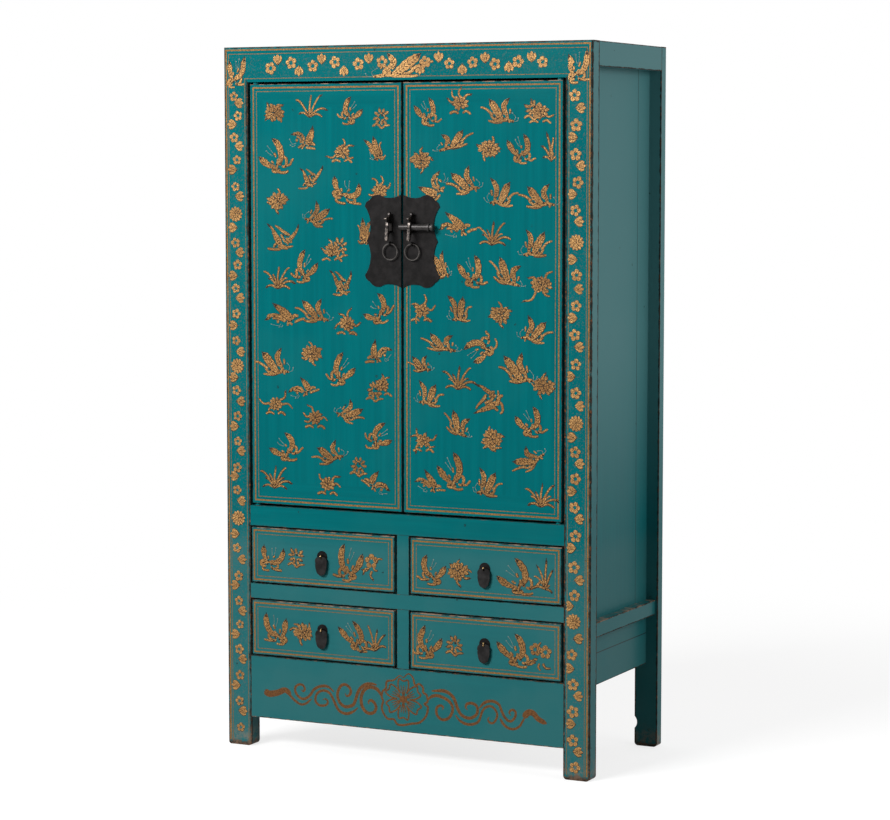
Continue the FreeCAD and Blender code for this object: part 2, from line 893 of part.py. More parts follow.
def door_rails():
    """The top and bottom rails of a door, mitred, with tenons past the mitres."""
    margin = size["tenon_shoulder"]
    thick = size["door_frame_width"]
    lower_outline = (
        (door_inside, door_low),
        (door_outside, door_low),
        (stile_inside, door_low + thick),
        (lock_stile_outside, door_low + thick),
    )
    upper_outline = (
        (lock_stile_outside, door_high - thick),
        (stile_inside, door_high - thick),
        (door_outside, door_high),
        (door_inside, door_high),
    )
    worn = size["door_edge_round"]
    section = (
        (front, door_high - worn),
        (front, door_low + worn, QUARTER_BOW_SHARE),
        (front + worn, door_low),
        (door_back, door_low),
        (door_back, door_high),
        (front + worn, door_high, QUARTER_BOW_SHARE),
    )
    bar = padded("door_rail_section", "YZ_Plane", section, door_inside, door_outside)
    lower_mitred = padded("door_lower_rail_mitred", "XZ_Plane", lower_outline, front, door_back)
    upper_mitred = padded("door_upper_rail_mitred", "XZ_Plane", upper_outline, front, door_back)
    lower = shared("door_lower_rail_beam", lower_mitred, bar)
    upper = shared("door_upper_rail_beam", upper_mitred, bar)
    inner_low = door_low + thick - margin
    inner_high = door_high - thick + margin
    lower_tenon = door_tenon("door_lower_tenons", inner_low - size["door_tenon_width"], inner_low)
    upper_tenon = door_tenon("door_upper_tenons", inner_high, inner_high + size["door_tenon_width"])
    return (
        fused("door_lower_rail_blank", lower, lower_tenon),
        fused("door_upper_rail_blank", upper, upper_tenon),
    )


def stile_outline(outer, inner):
    thick = size["door_frame_width"]
    corners = [
        (outer, door_low),
        (outer, door_high),
        (inner, door_high - thick),
        (inner, door_low + thick),
    ]
    if outer.number > inner.number:
        return corners
    return corners[::-1]


def eased_stile(name, outer, inner):
    """A mitred stile whose long front edges are eased as far as the door's."""
    mitred = padded(name + "_mitred", "XZ_Plane", stile_outline(outer, inner), front, door_back)
    worn = size["door_edge_round"]
    section = (
        (door_inside + worn, front),
        (door_outside - worn, front, QUARTER_BOW_SHARE),
        (door_outside, front + worn),
        (door_outside, door_back),
        (door_inside, door_back),
        (door_inside, front + worn, QUARTER_BOW_SHARE),
    )
    bar = padded(name + "_section", "XY_Plane", section, door_low, door_high)
    return shared(name, mitred, bar)


def hinge_stile_blank():
    """The stile on the pivot side, with a round pin at each end."""
    board = eased_stile("hinge_stile_board", door_outside, stile_inside)
    run = door_high - door_low + size["pivot_length_top"] + size["pivot_length_bottom"]
    pins = rod(
        "hinge_stile_pins",
        size["pivot_radius"],
        run,
        (pivot_x, pivot_y, door_low - size["pivot_length_bottom"]),
        ALONG_Z,
    )
    return fused("hinge_stile_blank", board, pins)


def lock_stile_blank():
    return eased_stile("lock_stile_board", door_inside, lock_stile_outside)


def door_panel_blank():
    """The flush panel with its tongues, which stand in the frame's grooves."""
    thick = size["door_frame_width"]
    panel_back = front + size["panel_thickness"]
    face = block(
        "door_panel_face",
        (lock_stile_outside, stile_inside),
        (front, panel_back),
        (door_low + thick, door_high - thick),
    )
    tongue = block(
        "door_panel_tongues",
        (lock_stile_outside - size["stub_length"], stile_inside + size["stub_length"]),
        (panel_back - size["panel_tongue"], panel_back),
        (door_low + thick - size["stub_length"], door_high - thick + size["stub_length"]),
    )
    return fused("door_panel_blank", face, tongue)


def door_battens():
    """Two battens dovetailed across the back of a door panel."""
    panel_back = front + size["panel_thickness"]
    buried = panel_back - size["batten_bury"]
    half = size["batten_width"] / 2
    wide = half + size["batten_flare"]
    battens = []
    for name, middle in (
        ("lower", door_low + size["batten_end_distance"]),
        ("upper", door_high - size["batten_end_distance"]),
    ):
        outline = (
            (buried, middle + wide),
            (buried, middle - wide),
            (panel_back, middle - half),
            (door_back, middle - half),
            (door_back, middle + half),
            (panel_back, middle + half),
        )
        batten = padded(
            name + "_door_batten", "YZ_Plane", outline, lock_stile_outside, stile_inside
        )
        battens.append(batten)
    return grouped("door_battens", *battens)


# Lock and rings, on the right side

def plate_blank():
    """One half of the lobed iron plate."""
    edge = door_inside + size["plate_edge_gap"]
    outline = []
    for across, up, bow in PLATE_OUTLINE_SHARES:
        x = size["plate_half_width"] * across
        if across == 0:
            x = edge
        outline.append((x, size["plate_level"] + size["plate_half_height"] * up, bow))
    return padded("lock_plate_blank", "XZ_Plane", outline, plate_face, front)


def lug():
    """The lug with its slot for the bolt and the tang that holds it in the stile."""
    low = size["lug_offset"] - size["lug_width"] / 2
    high = size["lug_offset"] + size["lug_width"] / 2
    stand = size["lug_reach"] - size["plate_thickness"]
    outline = []
    for out, up, bow in LUG_OUTLINE_SHARES:
        rise = size["lug_rise"] if up > 0 else size["lug_drop"]
        outline.append((plate_face - stand * out, size["bolt_level"] + rise * up, bow))
    solid = padded("lug_profile", "YZ_Plane", flipped(outline), low, high)
    half_slot = size["bolt_radius"] + size["bolt_clearance"]
    slot = block(
        "lug_slot",
        (low, high),
        (bolt_y - half_slot, bolt_y + half_slot),
        (size["bolt_level"] - half_slot, size["bolt_level"] + half_slot),
    )
    open_lug = cut("lug_with_slot", solid, slot)
    half_tang = size["lug_tang_height"] / 2
    tang = block(
        "lug_tang",
        (size["lug_offset"] - size["lug_tang_width"] / 2, size["lug_offset"] + size["lug_tang_width"] / 2),
        (plate_face, plate_face + size["plate_thickness"] + size["fitting_tang_length"]),
        (size["bolt_level"] - half_tang, size["bolt_level"] + half_tang),
    )
    return fused("lug", open_lug, tang)


def flipped(outline):
    """The same closed outline walked the other way, each bow kept on its edge."""
    count = len(outline)
    rows = []
    for index in range(count):
        row = outline[-1 - index]
        before = outline[(count - 2 - index) % count]
        rows.append((row[0], row[1], before[2]))
    return rows


def eye(name, wire, clearance, held, stand, x, level, face):
    """An eye of round wire that stands on a board and carries a ring or a drop."""
    radius = held + clearance + wire
    loop = hoop(name + "_loop", radius, wire, (x, face - stand, level), ALONG_X)
    start = face - stand + radius
    shank = rod(
        name + "_shank",
        wire,
        face + size["fitting_tang_length"] - start,
        (x, start, level),
        ALONG_Y,
    )
    return fused(name, loop, shank)


def shank_hole(name, wire, x, level, near, deep):
    return rod(name, wire + size["hole_clearance"], deep, (x, near, level), ALONG_Y)


def ring_eye():
    return eye(
        "ring_eye",
        size["eye_wire"],
        size["eye_clearance"],
        size["ring_wire"],
        size["eye_stand"],
        size["lug_offset"],
        size["ring_level"],
        front,
    )


def pull_ring():
    centre = (
        size["lug_offset"],
        front - size["eye_stand"],
        size["ring_level"] - size["ring_radius"],
    )
    return hoop("pull_ring", size["ring_radius"], size["ring_wire"], centre, ALONG_Y)


def lock_bolt():
    """The sliding bolt, drawn to the right until its tip clears the left door."""
    shaft = size["bolt_radius"]
    tip = size["bolt_tip_radius"]
    collar = size["bolt_collar_radius"]
    neck = size["bolt_neck_radius"]
    knob = size["bolt_knob_radius"]
    ease = size["bolt_knob_ease"]
    end = size["bolt_length"]
    knob_start = end - size["bolt_knob_length"]
    collar_end = knob_start - size["bolt_neck_length"]
    collar_start = collar_end - size["bolt_collar_length"]
    outline = (
        (0, 0),
        (end, 0),
        (end, knob - ease),
        (end - ease, knob),
        (knob_start + ease, knob),
        (knob_start, neck),
        (collar_end, neck),
        (collar_end, collar),
        (collar_start, collar),
        (collar_start, shaft),
        (size["bolt_tip_length"], shaft),
        (0, tip),
    )
    start = size["bolt_tip_from_gap"] - door_inside
    return turned("lock_bolt", outline, start, bolt_y, size["bolt_level"])


# Drawers, modelled on the right side and mirrored to the left

def drawer_front_board(name, x, y, z):
    """A front board with its four front edges eased, from a low and a high along each axis."""
    worn = size["drawer_edge_round"]
    (left, right), (face, shoulder), (low, high) = x, y, z
    upright = (
        (face, high - worn),
        (face, low + worn, QUARTER_BOW_SHARE),
        (face + worn, low),
        (shoulder, low),
        (shoulder, high),
        (face + worn, high, QUARTER_BOW_SHARE),
    )
    level = (
        (left + worn, face),
        (right - worn, face, QUARTER_BOW_SHARE),
        (right, face + worn),
        (right, shoulder),
        (left, shoulder),
        (left, face + worn, QUARTER_BOW_SHARE),
    )
    return shared(
        name,
        padded(name + "_upright_section", "YZ_Plane", upright, left, right),
        padded(name + "_level_section", "XY_Plane", level, low, high),
    )


def drawer_side(name, near, low):
    """A drawer side whose tails run into the back of the front board."""
    high = low + size["drawer_side_height"]
    shoulder = front - size["drawer_proud"] + size["drawer_front_thickness"]
    tail_end = shoulder - size["dovetail_length"]
    pitch = size["drawer_side_height"] / DOVETAILS_PER_SIDE
    half = size["dovetail_width"] / 2
    wide = half + size["dovetail_flare"]
    outline = [(shoulder, high), (drawer_back, high), (drawer_back, low), (shoulder, low)]
    for index in range(DOVETAILS_PER_SIDE):
        middle = low + pitch * (index + 0.5)
        outline += [
            (shoulder, middle - half),
            (tail_end, middle - wide),
            (tail_end, middle + wide),
            (shoulder, middle + half),
        ]
    return padded(name, "YZ_Plane", outline[::-1], near, near + size["drawer_side_thickness"])


def drawer(row, opening_low):
    """The front, the box and the pull of one right-hand drawer."""
    name = row + "_right_drawer"
    left = size["divider_width"] / 2 + size["drawer_side_gap"]
    right = post_inside - size["drawer_side_gap"]
    face = front - size["drawer_proud"]
    shoulder = face + size["drawer_front_thickness"]
    back = drawer_back
    inner_left = left + size["drawer_side_inset"]
    inner_right = right - size["drawer_side_inset"] - size["drawer_side_thickness"]
    thick = size["drawer_side_thickness"]
    bottom_low = opening_low + size["drawer_bottom_lift"]
    bottom_high = bottom_low + size["drawer_bottom_thickness"]

    near_side = drawer_side(name + "_near_side_board", inner_left, opening_low)
    far_side = drawer_side(name + "_far_side_board", inner_right, opening_low)
    groove = size["drawer_bottom_groove"]
    bottom = block(
        name + "_bottom",
        (inner_left + thick - groove, inner_right + groove),
        (shoulder - groove, back),
        (bottom_low, bottom_high),
    )
    back_end = back - size["drawer_back_inset"]
    back_board = block(
        name + "_back",
        (inner_left + thick - groove, inner_right + groove),
        (back_end - thick, back_end),
        (bottom_high, opening_low + size["drawer_side_height"]),
    )
    near_cut = cut(name + "_near_side", near_side, bottom, back_board)
    far_cut = cut(name + "_far_side", far_side, bottom, back_board)
    box = grouped(name + "_box", near_cut, far_cut, bottom, back_board)

    middle_x = (left + right) / 2
    middle_z = opening_low + size["drawer_opening_height"] / 2 + size["pull_lift"]
    board_low = opening_low + size["drawer_gap"]
    board_high = opening_low + size["drawer_opening_height"] - size["drawer_gap"]
    board = drawer_front_board(
        name + "_front_board", (left, right), (face, shoulder), (board_low, board_high)
    )
    wire = size["pull_eye_wire"]
    front_hole = shank_hole(
        name + "_front_hole", wire, middle_x, middle_z, face, size["fitting_tang_length"]
    )
    front_piece = cut(name + "_front", board, near_side, far_side, bottom, front_hole)

    disc_face = face - size["pull_plate_thickness"]
    disc_blank = rod(
        name + "_plate_blank",
        size["pull_plate_radius"],
        size["pull_plate_thickness"],
        (middle_x, disc_face, middle_z),
        ALONG_Y,
    )
    disc_hole = shank_hole(
        name + "_plate_hole", wire, middle_x, middle_z, disc_face, size["pull_plate_thickness"]
    )
    disc = cut(name + "_plate", disc_blank, disc_hole)
    pin = eye(
        name + "_pin",
        wire,
        size["pull_eye_clearance"],
        size["drop_thickness"] / 2,
        size["pull_eye_stand"],
        middle_x,
        middle_z,
        face,
    )
    plate = grouped(name + "_pull_plate", disc, pin)
    drop = drawer_drop(name, middle_x, middle_z, face - size["pull_eye_stand"])
    return front_piece, box, plate, drop


def drawer_drop(name, x, z, y):
    """The leaf-shaped iron drop, with the hole that its eye passes through."""
    top = z + size["pull_bar_rise"]
    bar = size["pull_bar_half_width"]
    right = []
    for across, up, bow in DROP_OUTLINE_SHARES:
        right.append((x + size["drop_half_width"] * across, z + size["drop_length"] * up, bow))
    left = []
    for across, up, bow in DROP_OUTLINE_SHARES:
        left.append((x - size["drop_half_width"] * across, z + size["drop_length"] * up))
    point = (x, z - size["drop_length"])
    bows = [row[2] for row in right]
    outline = [(x - bar, top), left[0] + (bows[0],), left[1] + (bows[1],), left[2] + (bows[2],)]
    outline += [point + (bows[2],), right[2][:2] + (bows[1],), right[1][:2] + (bows[0],)]
    outline += [right[0][:2], (x + bar, top)]
    half = size["drop_thickness"] / 2
    leaf = padded(name + "_drop_leaf", "XZ_Plane", outline, y - half, y + half)
    hole_level = z - size["drop_thickness"] / 2 - size["pull_eye_clearance"] - size["pull_eye_wire"]
    hole = rod(
        name + "_drop_hole",
        size["pull_hole_radius"],
        size["drop_thickness"],
        (x, y - half, hole_level),
        ALONG_Y,
    )
    return cut(name + "_pull_drop", leaf, hole)


# The cabinet, piece by piece

def build_carcass():
    apron = rail_with_tenons("front_apron", size["leg_clearance"], apron_top, size["apron_depth"])
    drawer_rail = rail_with_tenons("drawer_rail", drawer_rail_low, drawer_rail_top, size["rail_depth"])
    sill = rail_with_tenons("door_sill_rail", sill_low, sill_top, size["rail_depth"])
    top_rail = front_top_rail_blank()
    side_top = side_top_rail_blank()
    side_lower = side_lower_rail_blank()
    rear_top = rear_rail_blank("rear_top_rail", side_top_rail_low, size["height"])
    rear_bottom_top = size["skirt_level"] + size["rear_bottom_rail_height"]
    rear_bottom = rear_rail_blank("rear_bottom_rail", size["skirt_level"], rear_bottom_top)
    rear_middle = rear_rail_blank("rear_middle_rail", drawer_rail_low, drawer_rail_top)
    dividers = drawer_dividers()
    tops = top_boards()
    sides = side_boards()
    left_sides = mirrored("left_side_boards", sides)
    skirts = skirt_boards()
    backs = back_boards()
    floor_board = cupboard_floor()
    shelf_board = shelf()
    bearing = bearers()
    right_bottom = bottom_board()
    left_bottom = mirrored("left_bottom_board", right_bottom)
    bottoms = grouped("bottom_boards", right_bottom, left_bottom)
    runners = drawer_runners(bottoms)

    clearance = size["pivot_clearance"]
    bore_radius = size["pivot_radius"] + clearance
    top_bore = rod(
        "pivot_bore_top",
        bore_radius,
        size["pivot_length_top"] + clearance,
        (pivot_x, pivot_y, top_rail_low),
        ALONG_Z,
    )
    bottom_bore = rod(
        "pivot_bore_bottom",
        bore_radius,
        size["pivot_length_bottom"] - size["door_end_gap"] + clearance,
        (pivot_x, pivot_y, door_low - size["pivot_length_bottom"] - clearance),
        ALONG_Z,
    )
    top_bores = grouped("pivot_bores_top", top_bore, mirrored("pivot_bore_top_left", top_bore))
    bottom_bores = grouped(
        "pivot_bores_bottom", bottom_bore, mirrored("pivot_bore_bottom_left", bottom_bore)
    )

    post = cut(
        "front_right_post",
        front_post_blank(),
        apron,
        drawer_rail,
        sill,
        top_rail,
        side_top,
        side_lower,
        sides,
        skirts,
        bearing,
    )
    rear_post = cut(
        "rear_post",
        rear_post_blank(),
        rear_top,
        rear_bottom,
        rear_middle,
        side_top,
        side_lower,
        sides,
        skirts,
        backs,
        bearing,
    )
    keep("front_right_post", post)
    keep("front_left_post", mirrored("front_left_post", post))
    keep("rear_right_post", cut("rear_right_post", rear_post, leg_notch()))
    keep("rear_left_post", mirrored("rear_left_post", rear_post))
    keep("front_top_rail", cut("front_top_rail", top_rail, tops, sides, left_sides, top_bores))
    keep("rear_top_rail", cut("rear_top_rail", rear_top, tops, backs))
    right_top = cut("right_top_rail", side_top, tops, sides)
    keep("right_top_rail", right_top)
    keep("left_top_rail", mirrored("left_top_rail", right_top))
    keep("top_boards", tops)
    keep("door_sill_rail", cut("door_sill_rail", sill, dividers, floor_board, bottom_bores))
    keep("drawer_rail", cut("drawer_rail", drawer_rail, dividers, runners))
    keep("drawer_dividers", dividers)
    keep("front_apron", cut("front_apron", apron, dividers, runners))
    keep("right_side_boards", sides)
    keep("left_side_boards", left_sides)
    right_lower = cut("right_lower_rail", side_lower, sides, skirts)
    keep("right_lower_rail", right_lower)
    keep("left_lower_rail", mirrored("left_lower_rail", right_lower))
    keep("right_skirt", skirts)
    keep("left_skirt", mirrored("left_skirt", skirts))
    keep("rear_bottom_rail", cut("rear_bottom_rail", rear_bottom, backs, runners))
    keep("rear_middle_rail", cut("rear_middle_rail", rear_middle, backs, runners))
    keep("back_boards", backs)
    keep("cupboard_floor", floor_board)
    keep("shelf", shelf_board)
    keep("shelf_and_floor_bearers", bearing)
    keep("bottom_boards", bottoms)
    keep("drawer_runners", runners)


def build_doors():
    lower_rail, upper_rail = door_rails()
    panel = door_panel_blank()
    battens = door_battens()
    lug_piece = lug()
    ring_eye_piece = ring_eye()
    stile_hole = shank_hole(
        "stile_hole",
        size["eye_wire"],
        size["lug_offset"],
        size["ring_level"],
        front,
        size["fitting_tang_length"],
    )
    plate_hole = shank_hole(
        "lock_plate_hole",
        size["eye_wire"],
        size["lug_offset"],
        size["ring_level"],
        plate_face,
        size["plate_thickness"],
    )
    pieces = {
        "door_hinge_stile": cut("door_hinge_stile", hinge_stile_blank(), lower_rail, upper_rail, panel),
        "door_lock_stile": cut(
            "door_lock_stile", lock_stile_blank(), lower_rail, upper_rail, panel, lug_piece, stile_hole
        ),
        "door_rails": grouped(
            "door_rails",
            cut("door_lower_rail", lower_rail, panel),
            cut("door_upper_rail", upper_rail, panel),
        ),
        "door_panel": cut("door_panel", panel, battens),
        "door_battens": battens,
        "lock_plate": grouped(
            "lock_plate", cut("lock_plate_sheet", plate_blank(), lug_piece, plate_hole), ring_eye_piece
        ),
        "lock_lug": lug_piece,
        "pull_ring": pull_ring(),
    }
    for name, piece in pieces.items():
        keep("right_" + name, piece)
        keep("left_" + name, mirrored("left_" + name, piece))
    keep("lock_bolt", lock_bolt())


def build_drawers():
    for row, opening_low in (("lower", apron_top), ("upper", drawer_rail_top)):
        for kind, piece in zip(("front", "box", "pull_plate", "pull_drop"), drawer(row, opening_low)):
            keep(row + "_right_drawer_" + kind, piece)
            name = row + "_left_drawer_" + kind
            keep(name, mirrored(name, piece))


def check_and_write():
    """Stop on any failed object, then write each sub-part to its own file."""
    document.recompute()
    for entry in document.Objects:
        if "Invalid" in entry.State or "Error" in entry.State:
            raise RuntimeError(entry.Name + " failed: " + str(entry.State))
    os.makedirs("parts", exist_ok=True)
    for piece in kept:
        shape = piece.Shape
        if shape.isNull() or not shape.isValid() or not shape.Solids:
            raise RuntimeError(piece.Label + " has no valid solid")
        shape.exportStep("parts/" + piece.Label + ".step")
    print(len(kept), "sub-parts,", sum(len(piece.Shape.Solids) for piece in kept), "solids")


build_carcass()
build_doors()
build_drawers()
check_and_write()
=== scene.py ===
import math
import random

import bmesh
import bpy
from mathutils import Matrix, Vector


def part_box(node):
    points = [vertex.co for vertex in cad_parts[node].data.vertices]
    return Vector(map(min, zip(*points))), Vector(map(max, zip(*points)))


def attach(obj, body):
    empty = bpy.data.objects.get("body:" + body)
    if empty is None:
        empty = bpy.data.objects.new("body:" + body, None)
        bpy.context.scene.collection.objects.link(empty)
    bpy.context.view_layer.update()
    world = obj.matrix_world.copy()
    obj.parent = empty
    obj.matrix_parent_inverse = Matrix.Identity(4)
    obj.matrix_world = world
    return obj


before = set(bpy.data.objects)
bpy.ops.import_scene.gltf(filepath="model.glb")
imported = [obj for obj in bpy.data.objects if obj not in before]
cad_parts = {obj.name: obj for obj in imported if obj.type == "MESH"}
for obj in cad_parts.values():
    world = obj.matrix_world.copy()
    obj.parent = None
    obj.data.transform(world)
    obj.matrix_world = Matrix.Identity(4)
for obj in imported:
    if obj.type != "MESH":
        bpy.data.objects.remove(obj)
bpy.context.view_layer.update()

# The painted cabinet in its frame: X across the front, Y to the back, Z up, in metres.
# Tables of painted work are in millimetres on the front plane: x, then height.
MM = 0.001
FRONT = -0.227
HALF_WIDTH = 0.525
HEIGHT = 1.85


def clip_box(*nodes):
    """The lowest and highest corner round several nodes."""
    boxes = [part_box(node) for node in nodes]
    low = [min(box[0][k] for box in boxes) for k in range(3)]
    high = [max(box[1][k] for box in boxes) for k in range(3)]
    return low, high


# Camera, fitted to the photograph's frame of 890 by 820

PICTURE_WIDTH = 890
FOCAL_PIXELS = 2721.3
SENSOR_WIDTH = 36.0
CAMERA_PLACE = (3.1612, -6.4221, 1.5509)
CAMERA_TURN = (90 - 5.2035, 0.0, 26.139)


def make_camera():
    data = bpy.data.cameras.new("camera")
    data.sensor_width = SENSOR_WIDTH
    data.lens = FOCAL_PIXELS / PICTURE_WIDTH * SENSOR_WIDTH
    data.clip_end = 200
    camera = bpy.data.objects.new("camera", data)
    camera.location = CAMERA_PLACE
    camera.rotation_euler = [math.radians(angle) for angle in CAMERA_TURN]
    bpy.context.scene.collection.objects.link(camera)
    bpy.context.scene.camera = camera


# Shader nodes

def fed(tree, socket, value):
    """Links an output to a socket, or sets the socket to a plain value."""
    if isinstance(value, bpy.types.NodeSocket):
        tree.links.new(value, socket)
    elif hasattr(socket.default_value, "__len__") and len(socket.default_value) == 4:
        socket.default_value = (*value, 1.0)
    else:
        socket.default_value = value


def reckoned(tree, operation, first, second=0.0):
    node = tree.nodes.new("ShaderNodeMath")
    node.operation = operation
    fed(tree, node.inputs[0], first)
    fed(tree, node.inputs[1], second)
    return node.outputs[0]


def faded(tree, value, low, high, first=0.0, last=1.0):
    """Goes smoothly from the first value at low to the last at high, in either direction."""
    node = tree.nodes.new("ShaderNodeMapRange")
    node.interpolation_type = "SMOOTHSTEP"
    fed(tree, node.inputs["Value"], value)
    ends = sorted(((low, first), (high, last)))
    for side, (place, level) in zip(("Min", "Max"), ends):
        node.inputs[f"From {side}"].default_value = place
        node.inputs[f"To {side}"].default_value = level
    return node.outputs["Result"]


def blended(tree, share, first, second):
    node = tree.nodes.new("ShaderNodeMixShader")
    for socket, value in zip(node.inputs, (share, first, second)):
        tree.links.new(value, socket)
    return node.outputs[0]


class Graph:
    """A node material, written as sums of its nodes."""

    def __init__(self, name):
        self.material = bpy.data.materials.new(name)
        self.material.use_nodes = True
        self.tree = self.material.node_tree
        self.shader = self.tree.nodes["Principled BSDF"]
        self.coords = self.tree.nodes.new("ShaderNodeTexCoord").outputs["Object"]
        split = self.tree.nodes.new("ShaderNodeSeparateXYZ")
        self.tree.links.new(self.coords, split.inputs[0])
        self.x, self.y, self.z = split.outputs

    def plus(self, first, second):
        return reckoned(self.tree, "ADD", first, second)

    def minus(self, first, second):
        return reckoned(self.tree, "SUBTRACT", first, second)

    def times(self, first, second):
        return reckoned(self.tree, "MULTIPLY", first, second)

    def least(self, first, second):
        return reckoned(self.tree, "MINIMUM", first, second)

    def most(self, first, second):
        return reckoned(self.tree, "MAXIMUM", first, second)

    def size(self, value):
        return reckoned(self.tree, "ABSOLUTE", value)

    def step(self, value, low, high):
        """Rises smoothly from 0 at low to 1 at high, or falls where high is under low."""
        return faded(self.tree, value, low, high)

    def mix(self, share, first, second):
        node = self.tree.nodes.new("ShaderNodeMix")
        node.data_type = "RGBA"
        fed(self.tree, node.inputs[0], share)
        fed(self.tree, node.inputs[6], first)
        fed(self.tree, node.inputs[7], second)
        return node.outputs[2]

    def over(self, colour, share, strength, tone):
        """A tone laid over a colour where the share says, and as strongly."""
        return self.mix(self.times(share, strength), colour, tone)

    def textured(self, kind, scale, stretch, place):
        """A texture node of a kind, its pattern stretched and moved in the piece's own space."""
        mapping = self.tree.nodes.new("ShaderNodeMapping")
        mapping.inputs["Scale"].default_value = stretch
        mapping.inputs["Location"].default_value = place
        self.tree.links.new(self.coords, mapping.inputs["Vector"])
        node = self.tree.nodes.new(kind)
        node.inputs["Scale"].default_value = scale
        self.tree.links.new(mapping.outputs["Vector"], node.inputs["Vector"])
        return node

    def noise(self, scale, detail, rough, stretch=(1, 1, 1), shift=0.0, warp=0.0):
        place = (shift, shift * 0.7, shift * 1.3)
        node = self.textured("ShaderNodeTexNoise", scale, stretch, place)
        node.inputs["Detail"].default_value = detail
        node.inputs["Roughness"].default_value = rough
        node.inputs["Distortion"].default_value = warp
        return node.outputs["Fac"]

    def cells(self, scale, shift):
        """The distance to the nearest of many scattered points."""
        node = self.textured("ShaderNodeTexVoronoi", scale, (1, 1, 1), (shift, shift, shift))
        return node.outputs["Distance"]

    def edge_distance(self, low, high):
        """How far a point on a box's surface is from the nearest of the box's edges."""
        gaps = []
        for axis, near, far in zip((self.x, self.y, self.z), low, high):
            middle, half = (near + far) / 2, (far - near) / 2
            gaps.append(self.minus(half, self.size(self.minus(axis, middle))))
        lesser = self.least(gaps[0], gaps[1])
        greater = self.most(gaps[0], gaps[1])
        return self.most(lesser, self.least(greater, gaps[2]))

    def bump(self, height, distance, strength=0.5):
        node = self.tree.nodes.new("ShaderNodeBump")
        node.inputs["Strength"].default_value = strength
        node.inputs["Distance"].default_value = distance
        fed(self.tree, node.inputs["Height"], height)
        self.tree.links.new(node.outputs["Normal"], self.shader.inputs["Normal"])

    def finish(self, colour, roughness, metallic=0.0, specular=0.5):
        fed(self.tree, self.shader.inputs["Base Color"], colour)
        fed(self.tree, self.shader.inputs["Roughness"], roughness)
        self.shader.inputs["Metallic"].default_value = metallic
        self.shader.inputs["Specular IOR Level"].default_value = specular
        return self.material


# Materials

TEAL = (0.0, 0.139, 0.152)
TEAL_DEEP = (0.0, 0.114, 0.127)
TEAL_GREY = (0.006, 0.136, 0.143)
TEAL_FLOOR_SHEEN = (0.028, 0.142, 0.150)
TEAL_BACKDROP_SHEEN = (0.082, 0.238, 0.250)
GRIME = (0.016, 0.010, 0.007)
CHIP = (0.20, 0.070, 0.024)
BROWN = (0.055, 0.026, 0.013)
WORN_WOOD = (0.34, 0.22, 0.15)
SPECK = (0.20, 0.105, 0.060)

# A thin old lacquer, dulled by smoke and wax, so that it reflects little when seen straight on
LACQUER_SPECULAR = 0.04

# How the grain is drawn out along an axis, or level along both axes of a drawer's box
GRAIN_STRETCHES = {
    "x": (0.03, 1, 1), "y": (1, 0.03, 1), "z": (1, 1, 0.03), "level": (0.05, 0.03, 1),
}

# Where wear begins and where it is whole, in metres from a piece's edge, seam or foot
RIM = (0.0034, 0.0006)
RAGGED_REACH = 0.011
CHIPS = (0.0036, 0.0010)
RUBBED_EDGE = (0.0030, 0.0010)
SEAM = (0.0018, 0.0006)
SCUFF = (0.012, 0.002)
SCUFF_REACH = 0.05
RUBBED_FOOT = (0.07, 0.01)
OUTER_FACE = (HALF_WIDTH - 0.0016, HALF_WIDTH - 0.0006)
BAND_FADE = 0.004

# The levels between which a painted reflection of the pale floor greys the front low down, and a painted
# sheen of the bright backdrop lightens the sides towards the top
FLOOR_SHEEN_LEVELS = (0.61, 0.53)
BACKDROP_SHEEN_LEVELS = (0.45, 1.15)


